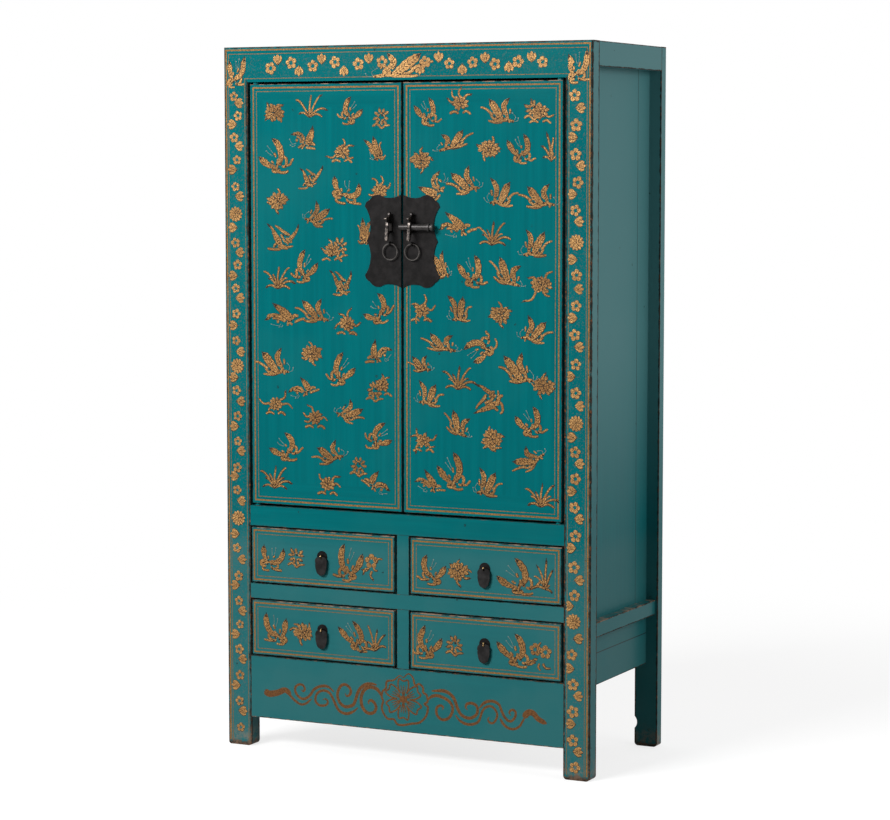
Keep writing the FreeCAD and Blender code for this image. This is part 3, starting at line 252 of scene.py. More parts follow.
def lacquer(
    name, box, grain, wear=1.0, worn=None, speck_band=None, gloss=0.24,
    seams=(), foot=False, bleached=False,
):
    """Teal lacquer over wood: brush streaks, dark worn edges and chips down to the wood.

    worn: "top" or "bottom", an edge rubbed to pale wood. speck_band: axis, first, last.
    seams: rows of axis and place where two boards meet. foot: scuffed at the floor.
    bleached: paler towards the top, a painted sheen of the bright backdrop, all over or only "outside".
    """
    graph = Graph(name)
    low, high = box
    streak = graph.noise(90, 4, 0.6, GRAIN_STRETCHES[grain])
    cloud = graph.noise(5, 3, 0.5, shift=3.1)
    fine = graph.noise(420, 2, 0.5, shift=1.7)
    ragged = graph.noise(46, 4, 0.7, shift=9.3)
    colour = graph.mix(graph.step(streak, 0.3, 0.8), TEAL_DEEP, TEAL)
    colour = graph.over(colour, graph.step(cloud, 0.45, 0.75), 0.5, TEAL_GREY)
    # Painted reflection of the pale floor: greyer below about 0.6 m, in uneven clouds
    floor_sheen = graph.plus(graph.times(graph.step(cloud, 0.40, 0.62), 0.35), 0.62)
    colour = graph.over(colour, graph.step(graph.z, *FLOOR_SHEEN_LEVELS), floor_sheen, TEAL_FLOOR_SHEEN)
    # Painted sheen: paler towards the top, where the bright backdrop shows in the lacquer
    if bleached:
        share = graph.step(graph.z, *BACKDROP_SHEEN_LEVELS)
        if bleached == "outside":
            share = graph.times(share, graph.step(graph.size(graph.x), *OUTER_FACE))
        colour = graph.mix(share, colour, TEAL_BACKDROP_SHEEN)

    # Small knocks that went through the lacquer
    knock = graph.times(graph.step(graph.cells(13, 0.37), 0.060, 0.035), graph.step(fine, 0.44, 0.56))
    colour = graph.over(colour, knock, 0.75, GRIME)

    # Specks of the gilder's ground along the painted border
    if speck_band:
        across, first, last = speck_band
        place = graph.size(graph.x) if across == "x" else graph.z
        starts, ends = graph.step(place, first, first + BAND_FADE), graph.step(place, last, last - BAND_FADE)
        spots = graph.step(graph.noise(260, 2, 0.6, shift=5.2), 0.54, 0.66)
        colour = graph.over(colour, graph.times(spots, graph.times(starts, ends)), 0.22, SPECK)

    # Joints between boards, filled with dirt
    for axis, place in seams:
        gap = graph.size(graph.minus({"y": graph.y, "z": graph.z}[axis], place))
        colour = graph.over(colour, graph.step(gap, *SEAM), 0.85, GRIME)

    # Edges: a rim of brown and black, then chips, by the nearest edge of the piece
    distance = graph.edge_distance(low, high)
    reach = graph.minus(distance, graph.times(graph.minus(ragged, 0.40), RAGGED_REACH * wear))
    rim = graph.step(reach, RIM[0] * wear, RIM[1] * wear)
    tone = graph.mix(graph.step(graph.noise(75, 3, 0.6, shift=4.4), 0.42, 0.66), GRIME, BROWN)
    colour = graph.over(colour, rim, 0.92, tone)
    flakes = graph.step(graph.noise(88, 4, 0.7, shift=14.0), 0.57, 0.63)
    chips = graph.times(graph.step(distance, CHIPS[0] * wear, CHIPS[1] * wear), flakes)
    colour = graph.over(colour, chips, 0.8, CHIP)

    # A top or bottom edge that hands and drawers have rubbed down to pale wood
    if worn:
        away = graph.size(graph.minus(graph.z, high[2] if worn == "top" else low[2]))
        uneven = graph.step(graph.noise(34, 4, 0.6, shift=21.0), 0.46, 0.60)
        colour = graph.over(colour, graph.times(graph.step(away, *RUBBED_EDGE), uneven), 0.75, WORN_WOOD)

    # Feet: scuffed brown and black at the floor, and rubbed pale a little higher
    if foot:
        level = graph.minus(graph.z, graph.times(graph.minus(ragged, 0.42), SCUFF_REACH))
        colour = graph.over(colour, graph.step(level, *SCUFF), 0.9, tone)
        rubbed = graph.times(graph.step(graph.z, *RUBBED_FOOT), graph.step(ragged, 0.40, 0.62))
        colour = graph.over(colour, rubbed, 0.4, WORN_WOOD)

    roughness = graph.plus(gloss, graph.times(rim, 0.35))
    roughness = graph.plus(roughness, graph.times(graph.minus(cloud, 0.5), 0.12))
    graph.bump(graph.plus(graph.times(streak, 0.6), graph.times(rim, -0.8)), 0.00025)
    return graph.finish(colour, roughness, specular=LACQUER_SPECULAR)


WOOD_LIGHT = (0.30, 0.175, 0.085)
WOOD_DARK = (0.155, 0.080, 0.035)
WOOD_STAIN = (0.10, 0.055, 0.028)


def bare_wood(name, grain):
    """Old unpainted softwood with its grain along one axis."""
    graph = Graph(name)
    stretch = GRAIN_STRETCHES[grain]
    rings = graph.noise(60, 5, 0.6, stretch, warp=0.6)
    fibres = graph.noise(380, 3, 0.6, stretch, shift=2.0)
    cloud = graph.noise(7, 3, 0.5, shift=6.0)
    colour = graph.mix(graph.step(rings, 0.35, 0.65), WOOD_DARK, WOOD_LIGHT)
    colour = graph.over(colour, graph.step(fibres, 0.5, 0.75), 0.35, WOOD_DARK)
    colour = graph.over(colour, graph.step(cloud, 0.45, 0.75), 0.5, WOOD_STAIN)
    graph.bump(fibres, 0.0002)
    return graph.finish(colour, 0.72, specular=0.25)


PITS = (0.022, 0.016, 0.012)


def iron(name, colour, bright=None, gloss=0.38):
    """Dark waxed iron; beyond a limit towards the front, patches of another tone: brass on the drawers'
    eyes, a painted highlight on the lugs.
    """
    graph = Graph(name)
    mottle = graph.noise(55, 4, 0.6)
    pits = graph.noise(420, 3, 0.6, shift=4.0)
    darker, lighter = [0.6 * part for part in colour], [1.35 * part for part in colour]
    shade = graph.mix(graph.step(mottle, 0.35, 0.7), darker, lighter)
    shade = graph.over(shade, graph.step(pits, 0.55, 0.7), 0.4, PITS)
    if bright:
        limit, tone = bright
        front_patches = graph.step(graph.noise(150, 3, 0.6, shift=11.0), 0.42, 0.60)
        shade = graph.over(shade, graph.step(graph.y, limit + 0.001, limit - 0.001), front_patches, tone)
    graph.bump(pits, 0.00012)
    return graph.finish(shade, graph.plus(gloss, graph.times(mottle, 0.16)), metallic=0.75, specular=0.3)


# Each paint: its name, its light, middle and dark tone, how metallic it is, and its grain
PAINTS = {
    "gold": ("gilding", (0.72, 0.390, 0.135), (0.235, 0.115, 0.037), (0.034, 0.018, 0.008), 0.3, 330),
    "bright": ("gilding_bright", (0.84, 0.480, 0.175), (0.36, 0.185, 0.062), (0.06, 0.03, 0.012), 0.3, 330),
    "ink": ("gilding_ink", (0.050, 0.026, 0.012), (0.024, 0.014, 0.008), (0.010, 0.008, 0.006), 0.0, 330),
    "pale": ("gilding_pale", (0.34, 0.36, 0.30), (0.16, 0.20, 0.18), (0.04, 0.10, 0.10), 0.1, 330),
    "line": ("border_line", (0.37, 0.172, 0.040), (0.25, 0.115, 0.027), (0.085, 0.055, 0.022), 0.1, 240),
    "faint": ("border_thin_line", (0.30, 0.150, 0.042), (0.20, 0.105, 0.034), (0.05, 0.06, 0.04), 0.1, 240),
    "scroll": ("scroll_paint", (0.20, 0.088, 0.026), (0.135, 0.054, 0.017), (0.050, 0.026, 0.011), 0.1, 200),
}


def gilt(name, light, middle, dark, metallic, scale):
    """Brushed gilding or paint, thin in places, with its dark ground showing through."""
    graph = Graph(name)
    patch = graph.noise(scale, 4, 0.65)
    worn = graph.noise(scale * 1.6, 3, 0.6, shift=3.0)
    cloud = graph.noise(20, 2, 0.5, shift=8.0)
    colour = graph.mix(graph.step(patch, 0.45, 0.62), middle, light)
    colour = graph.over(colour, graph.step(cloud, 0.42, 0.66), 0.7, middle)
    colour = graph.over(colour, graph.step(worn, 0.50, 0.58), 0.9, dark)
    # Painted shade: the paint a little darker towards the bottom
    colour = graph.over(colour, graph.step(graph.z, 0.95, 0.1), 0.3, middle)
    graph.bump(patch, 0.00015, 0.6)
    return graph.finish(colour, 0.42, metallic=metallic, specular=0.15)


def soften(node, width):
    """Ease the sharp edges of a solid a little, as paint and use have."""
    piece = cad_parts[node]
    weld = piece.modifiers.new("weld", "WELD")
    weld.merge_threshold = 1e-5
    bevel = piece.modifiers.new("ease", "BEVEL")
    bevel.width = width
    bevel.segments = 2
    bevel.limit_method = "ANGLE"
    bevel.angle_limit = math.radians(40)
    bevel.use_clamp_overlap = True


def assign(material, *nodes):
    for node in nodes:
        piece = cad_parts[node]
        piece.data.materials.clear()
        piece.data.materials.append(material)


# Painted work: thin raised shapes on the front plane

# How strokes are laid: in millimetres, apart from the steps of a curve, the butterflies' weight
# against their drawings, and the share that is kept of what hangs below a tail's reach
CATMULL_STEPS = 5
SINK = 0.25
FIRST_LIFT = 0.06
LAYER_LIFT = 0.012
DARK_EDGE = 1.1
BUTTERFLY_WEIGHT = 0.86
TIP_LENGTH = 4.5
TAIL_REACH = 26
TAIL_SHARE = 0.4
# How far the dark contour is moved right and down, a painted shadow
CONTOUR_SHADOW_SHIFT = 0.3
LEAST_WIDTH = 0.4
LINE_ROOM = 6


def smoothed(points, steps=CATMULL_STEPS):
    """Points along a smooth curve that passes through the given ones."""
    if len(points) < 3:
        (ax, az), (bx, bz) = points
        return [(ax + (bx - ax) * k / steps, az + (bz - az) * k / steps) for k in range(steps + 1)]
    ends = [points[0]] + list(points) + [points[-1]]
    found = []
    for before, start, end, after in zip(ends, ends[1:], ends[2:], ends[3:]):
        for k in range(steps):
            t = k / steps
            row = []
            for a, b, c, d in zip(before, start, end, after):
                square, cube = 2 * a - 5 * b + 4 * c - d, 3 * b - a - 3 * c + d
                row.append(0.5 * (2 * b + (c - a) * t + square * t * t + cube * t ** 3))
            found.append(tuple(row))
    found.append(tuple(points[-1]))
    return found


def heading(start, end):
    """The unit step from one point towards another."""
    dx, dz = end[0] - start[0], end[1] - start[1]
    run = math.hypot(dx, dz) or 1.0
    return dx / run, dz / run


class Painting:
    """The painted shapes of one body, gathered in one mesh of thin slabs.

    Each stroke lies a hair over the one before, on a slightly wider dark one, as gilding does
    on its size, so that strokes show dark edges where they cross, and lower right as a painted shadow.
    """

    def __init__(self, name, body, face, seed, materials=("gold", "ink", "pale")):
        self.name, self.body, self.face = name, body, face
        self.materials = materials
        self.limits = None
        self.points, self.faces, self.tints = [], [], []
        self.layer = 0
        self.chance = random.Random(seed)

    def slab(self, left, right, tint, lift):
        """A closed thin slab between two rows of points."""
        top, bottom = self.face - lift * MM, self.face + SINK * MM
        first = len(self.points)
        for (lx, lz), (rx, rz) in zip(left, right):
            self.points += [
                (lx * MM, top, lz * MM), (rx * MM, top, rz * MM),
                (lx * MM, bottom, lz * MM), (rx * MM, bottom, rz * MM),
            ]
        count = len(left)
        quads = []
        for k in range(count - 1):
            a = first + 4 * k
            b = a + 4
            quads += [(a, a + 1, b + 1, b), (a + 2, b + 2, b + 3, a + 3)]
            quads += [(a, b, b + 2, a + 2), (a + 1, a + 3, b + 3, b + 1)]
        last = first + 4 * (count - 1)
        quads += [(first, first + 2, first + 3, first + 1), (last, last + 1, last + 3, last + 2)]
        self.faces += quads
        self.tints += [self.materials.index(tint)] * len(quads)

    def ribbon(self, points, widths, tint):
        """A slab along a row of points, as wide as said at each, over its dark contour."""
        self.layer += 1
        lift = FIRST_LIFT + LAYER_LIFT * self.layer
        normals = []
        for k in range(len(points)):
            dx, dz = heading(points[max(k - 1, 0)], points[min(k + 1, len(points) - 1)])
            normals.append((-dz, dx))
        if tint == "gold":
            tint = self.materials[0]
        # The dark contour under gold: its own dark ground, shifted right and down as a painted shadow
        passes = [(0.0, 0.0, tint, lift)]
        if tint in ("gold", "bright"):
            edge = DARK_EDGE * self.chance.uniform(0.6, 1.5)
            passes.insert(0, (edge, CONTOUR_SHADOW_SHIFT, "ink", lift - LAYER_LIFT / 2))
        for grow, shadow_shift, colour, height in passes:
            left, right = [], []
            for (x, z), (nx, nz), width in zip(points, normals, widths):
                half = max(width, LEAST_WIDTH) / 2 + grow
                if self.limits:
                    room = half + LINE_ROOM
                    (x0, z0), (x1, z1) = self.limits
                    x, z = min(max(x, x0 + room), x1 - room), min(max(z, z0 + room), z1 - room)
                left.append((x + nx * half + shadow_shift, z + nz * half - shadow_shift))
                right.append((x - nx * half + shadow_shift, z - nz * half - shadow_shift))
            self.slab(left, right, colour, height)

    def stroke(self, points, width, end_width=None, tint="gold"):
        """A brush stroke through the points, thick in its first half and tapered at its ends."""
        line = smoothed(points)
        end_width = width * 0.45 if end_width is None else end_width
        widths = []
        for k in range(len(line)):
            t = k / (len(line) - 1)
            taper = min(1.0, 0.4 + 6 * t, 0.25 + 7 * (1 - t))
            widths.append((width + (end_width - width) * t) * taper)
        self.ribbon(line, widths, tint)

    def around(self, centre, *polar):
        """Points about a centre, each given by its distance and angle."""
        return [(centre[0] + r * math.cos(a), centre[1] + r * math.sin(a)) for r, a in polar]

    def leaf(self, root, tip, width, bend, fullness, steps):
        """A pointed leaf or petal from its root to its tip."""
        dx, dz = tip[0] - root[0], tip[1] - root[1]
        spine, widths = [], []
        for k in range(steps + 1):
            t = k / steps
            side = bend * 4 * t * (1 - t)
            spine.append((root[0] + dx * t - dz * side, root[1] + dz * t + dx * side))
            swell = math.sin(math.pi * t ** fullness) ** 0.8 if 0 < t < 1 else 0.0
            widths.append(width * swell)
        self.ribbon(spine, widths, "gold")

    def dab(self, centre, radius, tint="gold", squash=1.0, turn=0.0, sides=10):
        """A rounded dab of paint."""
        half = sides // 2
        spine, widths = [], []
        for k in range(half + 1):
            angle = math.pi * k / half
            spine.append(self.around(centre, (-radius * math.cos(angle), turn))[0])
            wobble = 1 + 0.12 * (self.chance.random() - 0.5)
            widths.append(2 * radius * math.sin(angle) * squash * wobble)
        self.ribbon(spine, widths, tint)

    def line_widths(self, widths, count):
        """Widths spread evenly along a line of so many points."""
        found = []
        for k in range(count):
            at = k / (count - 1) * (len(widths) - 1)
            low = min(int(at), len(widths) - 2)
            found.append(widths[low] + (widths[low + 1] - widths[low]) * (at - low))
        return found

    def wing(self, points, widths):
        """A wing with dark dashes on both sides of its vein, and a thin black tip."""
        line = smoothed(points)
        wide = self.line_widths(widths, len(line))
        last = len(line) - 1
        scalloped = [w * (1 + 0.10 * math.cos(2 * math.pi * 5 * k / last)) for k, w in enumerate(wide)]
        self.ribbon(line, scalloped, "gold")
        step = max(2, last // 7)
        for k in range(step, last - step, step):
            (ax, az), (bx, bz) = line[k], line[k + 1]
            dx, dz = heading(line[k], line[k + 1])
            for way in (-1, 1):
                if wide[k] > 7 and self.chance.random() < 0.8:
                    near = wide[k] * 0.10 * way
                    far = wide[k] * self.chance.uniform(0.24, 0.36) * way
                    dash = [(ax - dz * near, az + dx * near), (bx - dz * far, bz + dx * far)]
                    self.ribbon(dash, [2.1, 1.7], "ink")
        cut = max(1, last // 6)
        tail = line[last - cut:]
        (bx, bz), (dx, dz) = tail[-1], heading(tail[-2], tail[-1])
        tail = tail + [(bx + dx * TIP_LENGTH, bz + dz * TIP_LENGTH)]
        self.ribbon(tail, self.line_widths((wide[last - cut] * 0.8, 3.6, 2.2), len(tail)), "ink")

    def butterfly(self, kind, centre, first, second):
        """A butterfly of one kind, stretched so that its wing tips meet the given places."""
        self.layer = 0
        tips, strokes, wings, dots, feelers = BUTTERFLY_DRAWINGS[kind]
        (ax, az), (bx, bz) = tips
        spread = ax * bz - bx * az
        px, pz = first[0] - centre[0], first[1] - centre[1]
        qx, qz = second[0] - centre[0], second[1] - centre[1]
        xx, xz = (px * bz - qx * az) / spread, (qx * ax - px * bx) / spread
        zx, zz = (pz * bz - qz * az) / spread, (qz * ax - pz * bx) / spread
        size = BUTTERFLY_WEIGHT * max(0.7, min(1.25, math.sqrt(abs(xx * zz - xz * zx))))

        def placed(points):
            found = []
            for x, z in points:
                x, z = x + self.chance.uniform(-0.9, 0.9), z + self.chance.uniform(-0.9, 0.9)
                across, up = xx * x + xz * z, zx * x + zz * z
                if up < -TAIL_REACH:
                    up = -TAIL_REACH + (up + TAIL_REACH) * TAIL_SHARE
                found.append((centre[0] + across, centre[1] + up))
            return found

        for points, widths in strokes:
            line = smoothed(placed(points))
            wide = [size * w for w in self.line_widths(widths, len(line))]
            wide[0], wide[-1] = wide[0] * 0.6, wide[-1] * 0.5
            self.ribbon(line, wide, "gold")
        for points, widths in wings:
            self.wing(placed(points), [size * w for w in widths])
        for dot in placed(dots):
            self.dab(dot, 2.3, "ink")
        for points in feelers:
            line = placed(points)
            self.stroke(line, 1.2, 0.9, "pale")
            self.dab(line[-1], 1.6, "pale")

    def leaves(self, centre, tips, width=5.0):
        """Slender leaves, each one curved stroke with a dark end."""
        for x, z in tips:
            dx, dz = x - centre[0], z - centre[1]
            far, angle = math.hypot(dx, dz), math.atan2(dz, dx)
            lean = self.chance.choice((-0.30, 0.26))
            points = self.around(
                centre, (far * 0.34, angle + lean * 0.5), (far * 0.7, angle + lean), (far, angle),
                (far * 0.90, angle + lean * 0.3), (far * 1.10, angle),
            )
            self.stroke(points[:3], width, width * 0.5)
            if self.chance.random() < 0.5:
                self.stroke(points[3:], 3.0, 1.4, "ink")

    def wave_leaf(self, centre):
        """The two-lobed leaf that lies under a flower."""
        rows = ((-26, -24), (-15, -18), (-7, -21), (1, -28), (11, -22), (25, -21))
        self.stroke([(centre[0] + x, centre[1] + z) for x, z in rows], 5.4, 4.2)

    def petals(self, centre, count, near, far, width, flat=1.0):
        """A ring of pointed petals, a few of them dark at the tip."""
        turn = self.chance.random()
        for k in range(count):
            angle = 2 * math.pi * (k + turn) / count + self.chance.uniform(-0.12, 0.12)
            tip = far * self.chance.uniform(0.86, 1.14)
            rows = [(x, centre[1] + (z - centre[1]) * flat) for x, z in self.around(
                centre, (near, angle), (tip, angle + 0.06), (tip * 0.90, angle), (tip * 1.13, angle)
            )]
            self.leaf(rows[0], rows[1], width, self.chance.uniform(-0.1, 0.1), 1.3, 6)
            if self.chance.random() < 0.3:
                self.stroke(rows[2:], 3.0, 1.6, "ink")

    def daisy(self, centre, tips=(), under=False):
        """A flower with a leaf under it, or one of ruffled petals with long arched leaves."""
        self.layer = 0
        if under:
            self.petals(centre, 9, 8, 23, 6.8)
            for angle in (0.4, 1.5, 2.7, 3.9, 5.2):
                arc = self.around(centre, (8.5, angle - 0.4), (9.5, angle), (8.5, angle + 0.4))
                self.stroke(arc, 4.4, 3.4)
            self.dab((centre[0] + 2, centre[1] + 3), 2.6, "ink")
            self.wave_leaf(centre)
            return
        if not tips:
            wild = ((-36, 12), (-24, 31), (3, 38), (31, 20), (37, -8), (-33, -10))
            tips = [(centre[0] + x, centre[1] + z) for x, z in self.chance.sample(wild, 4)]
        self.leaves(centre, tips)
        cx, cz = centre
        self.stroke([(cx - 30, cz - 27), (cx - 17, cz - 22), (cx - 5, cz - 27)], 5.2, 4.0)
        self.stroke([(cx + 29, cz - 29), (cx + 17, cz - 21), (cx + 6, cz - 26)], 5.0, 4.0)
        self.petals(centre, 10, 5, 22, 8.0, 0.85)
        self.petals(centre, 6, 2, 12, 6.0)
        for angle in (0.2, 1.3, 2.6, 3.8, 5.0):
            self.dab(self.around(centre, (10, angle))[0], 1.4, "ink")
        self.dab(centre, 2.0, "ink")

    def peony(self, centre, tips=(), under=False):
        """A full ruffled flower of three rings of petals, with short leaves round it."""
        self.layer = 0
        if not tips:
            turn = self.chance.random() * 2
            tips = self.around(centre, *((33, turn + k * 1.6) for k in range(4)))
        self.leaves(centre, tips, 6)
        self.petals(centre, 13, 13, 29, 9.0, 0.80)
        self.petals(centre, 9, 6, 19, 8.0, 0.85)
        self.petals(centre, 5, 2, 10, 6.0)
        for angle in (0.6, 1.7, 2.9, 4.1, 5.3):
            self.dab(self.around(centre, (13, angle))[0], 1.6, "ink")
        self.dab(centre, 2.2, "ink")
        if under:
            self.wave_leaf(centre)

    def orchid(self, base, tips=()):
        """A tuft of even narrow blades; the outer ones arch over and droop."""
        self.layer = 0
        fan = (
            (-42, 42), (-14, 36), (5, 56), (18, 30), (37, 54), (52, 13), (37, -2), (-34, 1), (-26, 24),
            (30, 26),
        )
        for x, z in tips or [(base[0] + x, base[1] + z) for x, z in fan]:
            dx, dz = x - base[0], z - base[1]
            rise = abs(dx) * 0.32
            way = 1 if dx > 0 else -1
            middle = (base[0] + dx * 0.5 - way * 1.5, base[1] + dz * 0.5 + rise * 0.6)
            nearly = (base[0] + dx * 0.8, base[1] + dz * 0.84 + rise * 0.45)
            self.stroke([base, middle, nearly, (x, z)], 4.8, 2.8)
            if self.chance.random() < 0.6:
                self.stroke([nearly, (x, z), (x + dx * 0.07, z + dz * 0.07)], 2.8, 1.6, "ink")
        for dx, dz in ((-8, 15), (5, 20), (12, 11)):
            self.stroke([(base[0], base[1] + 2), (base[0] + dx, base[1] + dz)], 4.8, 3.0)
        for dx, dz in ((-4, 7), (4, 8), (0, -1)):
            self.dab((base[0] + dx, base[1] + dz), 2.2, "ink")

    def blossom(self, centre, radius=14, turn=0.0):
        """Five rounded petals round an open middle with a dark eye."""
        self.layer = 0
        for k in range(5):
            angle = math.pi / 2 + 2 * math.pi * k / 5 + turn
            size = radius * (0.34 + 0.06 * self.chance.random())
            place = self.around(centre, (radius * 0.66, angle))[0]
            self.dab(place, size, "gold", 1.05, angle)
            vein = self.around(centre, (radius * 0.34, angle), (radius * 0.62, angle + 0.1))
            self.stroke(vein, 1.2, 0.7, "ink")

    def spray(self, centre, point, size=16.5):
        """A small fan-shaped leaf, its stalk towards an angle."""
        self.layer = 0
        for lean in (-0.52, 0.52, 0.0):
            root = self.around(centre, (size * 0.9, point))[0]
            tip = self.around(centre, (size * 0.8, point + math.pi + lean * 1.6))[0]
            self.leaf(root, tip, size * 0.62, 0.10 * lean, 1.6, 7)
        for lean in (-0.26, 0.26):
            start = self.around(centre, (size * 0.42, point))[0]
            end = self.around(centre, (size * 0.55, point + math.pi + lean * 1.6))[0]
            self.stroke([start, end], 1.2, 0.8, "ink")

    def medallion(self, centre, radius=20):
        """A full round flower head of many narrow petals."""
        self.layer = 0
        for k in range(12):
            angle = 2 * math.pi * k / 12
            self.stroke(self.around(centre, (radius * 0.30, angle), (radius, angle + 0.08)), 8.0, 6.6)
        for k in range(8):
            angle = 2 * math.pi * (k + 0.5) / 8
            self.stroke(self.around(centre, (radius * 0.06, angle), (radius * 0.48, angle)), 5.6, 4.4)
        self.dab(centre, 1.8, "ink")

    def band(self, corners, width, closed=False, tint="line"):
        """A painted line along straight runs, with mitred corners and a hand's slight wobble."""
        count = len(corners)
        runs = count if closed else count - 1
        for k in range(runs):
            (ax, az), (bx, bz) = corners[k], corners[(k + 1) % count]
            length = math.hypot(bx - ax, bz - az)
            ux, uz = (bx - ax) / length, (bz - az) / length
            half = width / 2
            start_cut = half if closed or k > 0 else 0
            end_cut = half if closed or k < runs - 1 else 0
            pieces = max(2, int(length / 60))
            left, right = [], []
            for i in range(pieces + 1):
                along = length * i / pieces
                wobble = 0.0 if i in (0, pieces) else self.chance.uniform(-0.3, 0.3)
                swell = half if i in (0, pieces) else half * self.chance.uniform(0.86, 1.08)
                grow = 0.0
                if i == 0:
                    grow = -start_cut
                elif i == pieces:
                    grow = end_cut
                for rows, sign in ((left, 1), (right, -1)):
                    at = along - grow * sign * self.corner_turn(corners, k, i, closed)
                    aside = swell * sign + wobble
                    rows.append((ax + ux * at - uz * aside, az + uz * at + ux * aside))
            self.slab(left, right, tint, FIRST_LIFT)

    def corner_turn(self, corners, k, i, closed):
        """Which way the outline turns at the run's near or far corner: 1 left, -1 right."""
        count = len(corners)
        near = k if i == 0 else k + 1
        if not closed and near in (0, count - 1):
            return 0
        a, b, c = corners[(near - 1) % count], corners[near % count], corners[(near + 1) % count]
        cross = (b[0] - a[0]) * (c[1] - b[1]) - (b[1] - a[1]) * (c[0] - b[0])
        return 1 if cross > 0 else -1

    def build(self, palette):
        mesh = bpy.data.meshes.new(self.name)
        mesh.from_pydata(self.points, [], self.faces)
        for slot in self.materials:
            mesh.materials.append(palette[slot])
        mesh.polygons.foreach_set("material_index", self.tints)
        work = bmesh.new()
        work.from_mesh(mesh)
        bmesh.ops.recalc_face_normals(work, faces=work.faces)
        work.to_mesh(mesh)
        work.free()
        piece = bpy.data.objects.new(self.name, mesh)
        bpy.context.scene.collection.objects.link(piece)
        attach(piece, self.body)
        return piece


# Four ways to draw a butterfly, in millimetres about its middle: the tips of its two wings, its
# strokes and its two wings with their widths, its dark dots, and its pale feelers
BUTTERFLY_DRAWINGS = {
    "open": (
        ((-37, 21), (9, 36)),
        (
            (((6, -17), (10, -9), (18, -6), (24, -12), (22, -20), (16, -24), (9, -20)), (5, 6.5, 6.5, 5)),
            (((19, -24), (28, -26), (35, -23), (41, -21)), (4, 5, 4.5)),
            (((-4, -17), (-12, -15), (-17, -20), (-14, -27), (-6, -29), (0, -25)), (5, 9, 8, 5)),
            (((-7, -31), (-4, -38), (2, -42), (9, -43), (17, -40)), (5, 5, 4.5)),
            (((1, 12), (1, 3)), (5, 4)),
            (((-13, 2), (-8, -6)), (5, 4)),
            (((-10, -24), (-4, -16), (2, -8), (4, -2)), (4, 6, 4)),
        ),
        (
            (((-8, -13), (-20, -4), (-30, 9), (-37, 21)), (6, 11, 17, 6)),
            (((3, -13), (13, -5), (18, 8), (15, 24), (9, 36)), (6, 13, 15.5, 15, 5)),
        ),
        ((-11, -20), (-3, -11), (7, -14), (0, -20), (17, -25)),
        (((-4, 8), (-12, 18), (-16, 25)), ((-2, 12), (-6, 24), (-9, 32))),
    ),
    "perched": (
        ((17, 27), (-31, 38)),
        (
            (((12, -9), (19, -13), (13, -23), (5, -20)), (5, 6.5, 5)),
            (((15, -14), (21, -6), (28, 0), (36, 3), (43, 3)), (7, 6, 5, 4)),
            (((-6, -28), (8, -33), (18, -33), (29, -31)), (6, 7, 6, 4)),
            (((-37, -22), (-28, -20), (-16, -20), (-2, -25), (12, -30)), (4, 7, 10, 9, 6)),
            (((-25, -22), (-24, -32)), (5, 4)),
            (((-12, 8), (-15, -6)), (5, 5)),
            (((-33, 12), (-30, -3)), (5, 4)),
        ),
        (
            (((-22, -16), (-20, 0), (-17, 14), (-23, 27), (-31, 38)), (8, 10, 16, 14, 4)),
            (((-8, -21), (-1, -8), (6, 6), (12, 18), (17, 27)), (12, 20, 23, 20, 4)),
        ),
        ((-33, -22), (-21, -22), (2, -21), (11, -17), (-12, -18)),
        (((-38, -18), (-43, -8), (-38, 2)), ((-39, -21), (-47, -18), (-51, -10))),
    ),
    "darting": (
        ((-42, 34), (47, 31)),
        (
            (((-45, -30), (-30, -34), (-12, -33), (0, -24), (15, -23), (30, -20)), (4, 6, 7, 6, 6, 3)),
            (((-27, -24), (-22, -16), (-12, -14), (-2, -18)), (5, 6, 6)),
            (((-22, 33), (-10, 27), (1, 18), (10, 12), (20, 8)), (3, 5, 8, 9, 6)),
            (((-6, 10), (-2, 4), (2, -4), (10, -10), (16, -5), (11, 1)), (7, 6, 7, 7, 6)),
            (((-14, -20), (-2, -22), (10, -25), (16, -33)), (8, 13, 10, 5)),
            (((25, -4), (26, -12)), (7, 5)),
        ),
        (
            (((-6, -18), (-14, -5), (-22, 8), (-30, 24), (-42, 34)), (14, 20, 14, 6, 3)),
            (((12, -16), (22, -4), (33, 8), (42, 20), (47, 31)), (8, 11, 11, 6, 3)),
        ),
        ((-10, -14), (4, 7), (13, 6), (-20, -21), (4, -17)),
        (),
    ),
    "arched": (
        ((23, 29), (-37, 11)),
        (
            (((4, -24), (19, -25), (33, -29)), (6, 6.5, 5)),
            (((10, -17), (22, -13), (30, -18)), (6, 9, 5)),
            (((-18, -23), (-8, -19), (2, -16)), (4, 7, 7)),
            (((-7, -27), (-5, -19)), (5, 5)),
            (((-11, -12), (-12, -4), (-17, 3), (-24, 5)), (5, 5, 5, 4)),
            (((-26, -4), (-20, -5)), (8, 8)),
        ),
        (
            (((-6, -12), (-3, 0), (-10, 10), (-21, 13), (-31, 11), (-37, 11)), (8, 9, 9, 10, 8, 3)),
            (((8, -16), (14, -3), (18, 10), (23, 29)), (13, 22, 19, 3)),
        ),
        ((-5, -17), (3, -18), (-27, 9), (12, -13), (-12, 8)),
        (((-24, -12), (-35, -14), (-43, -3)), ((-25, -16), (-33, -21), (-40, -18))),
    ),
}

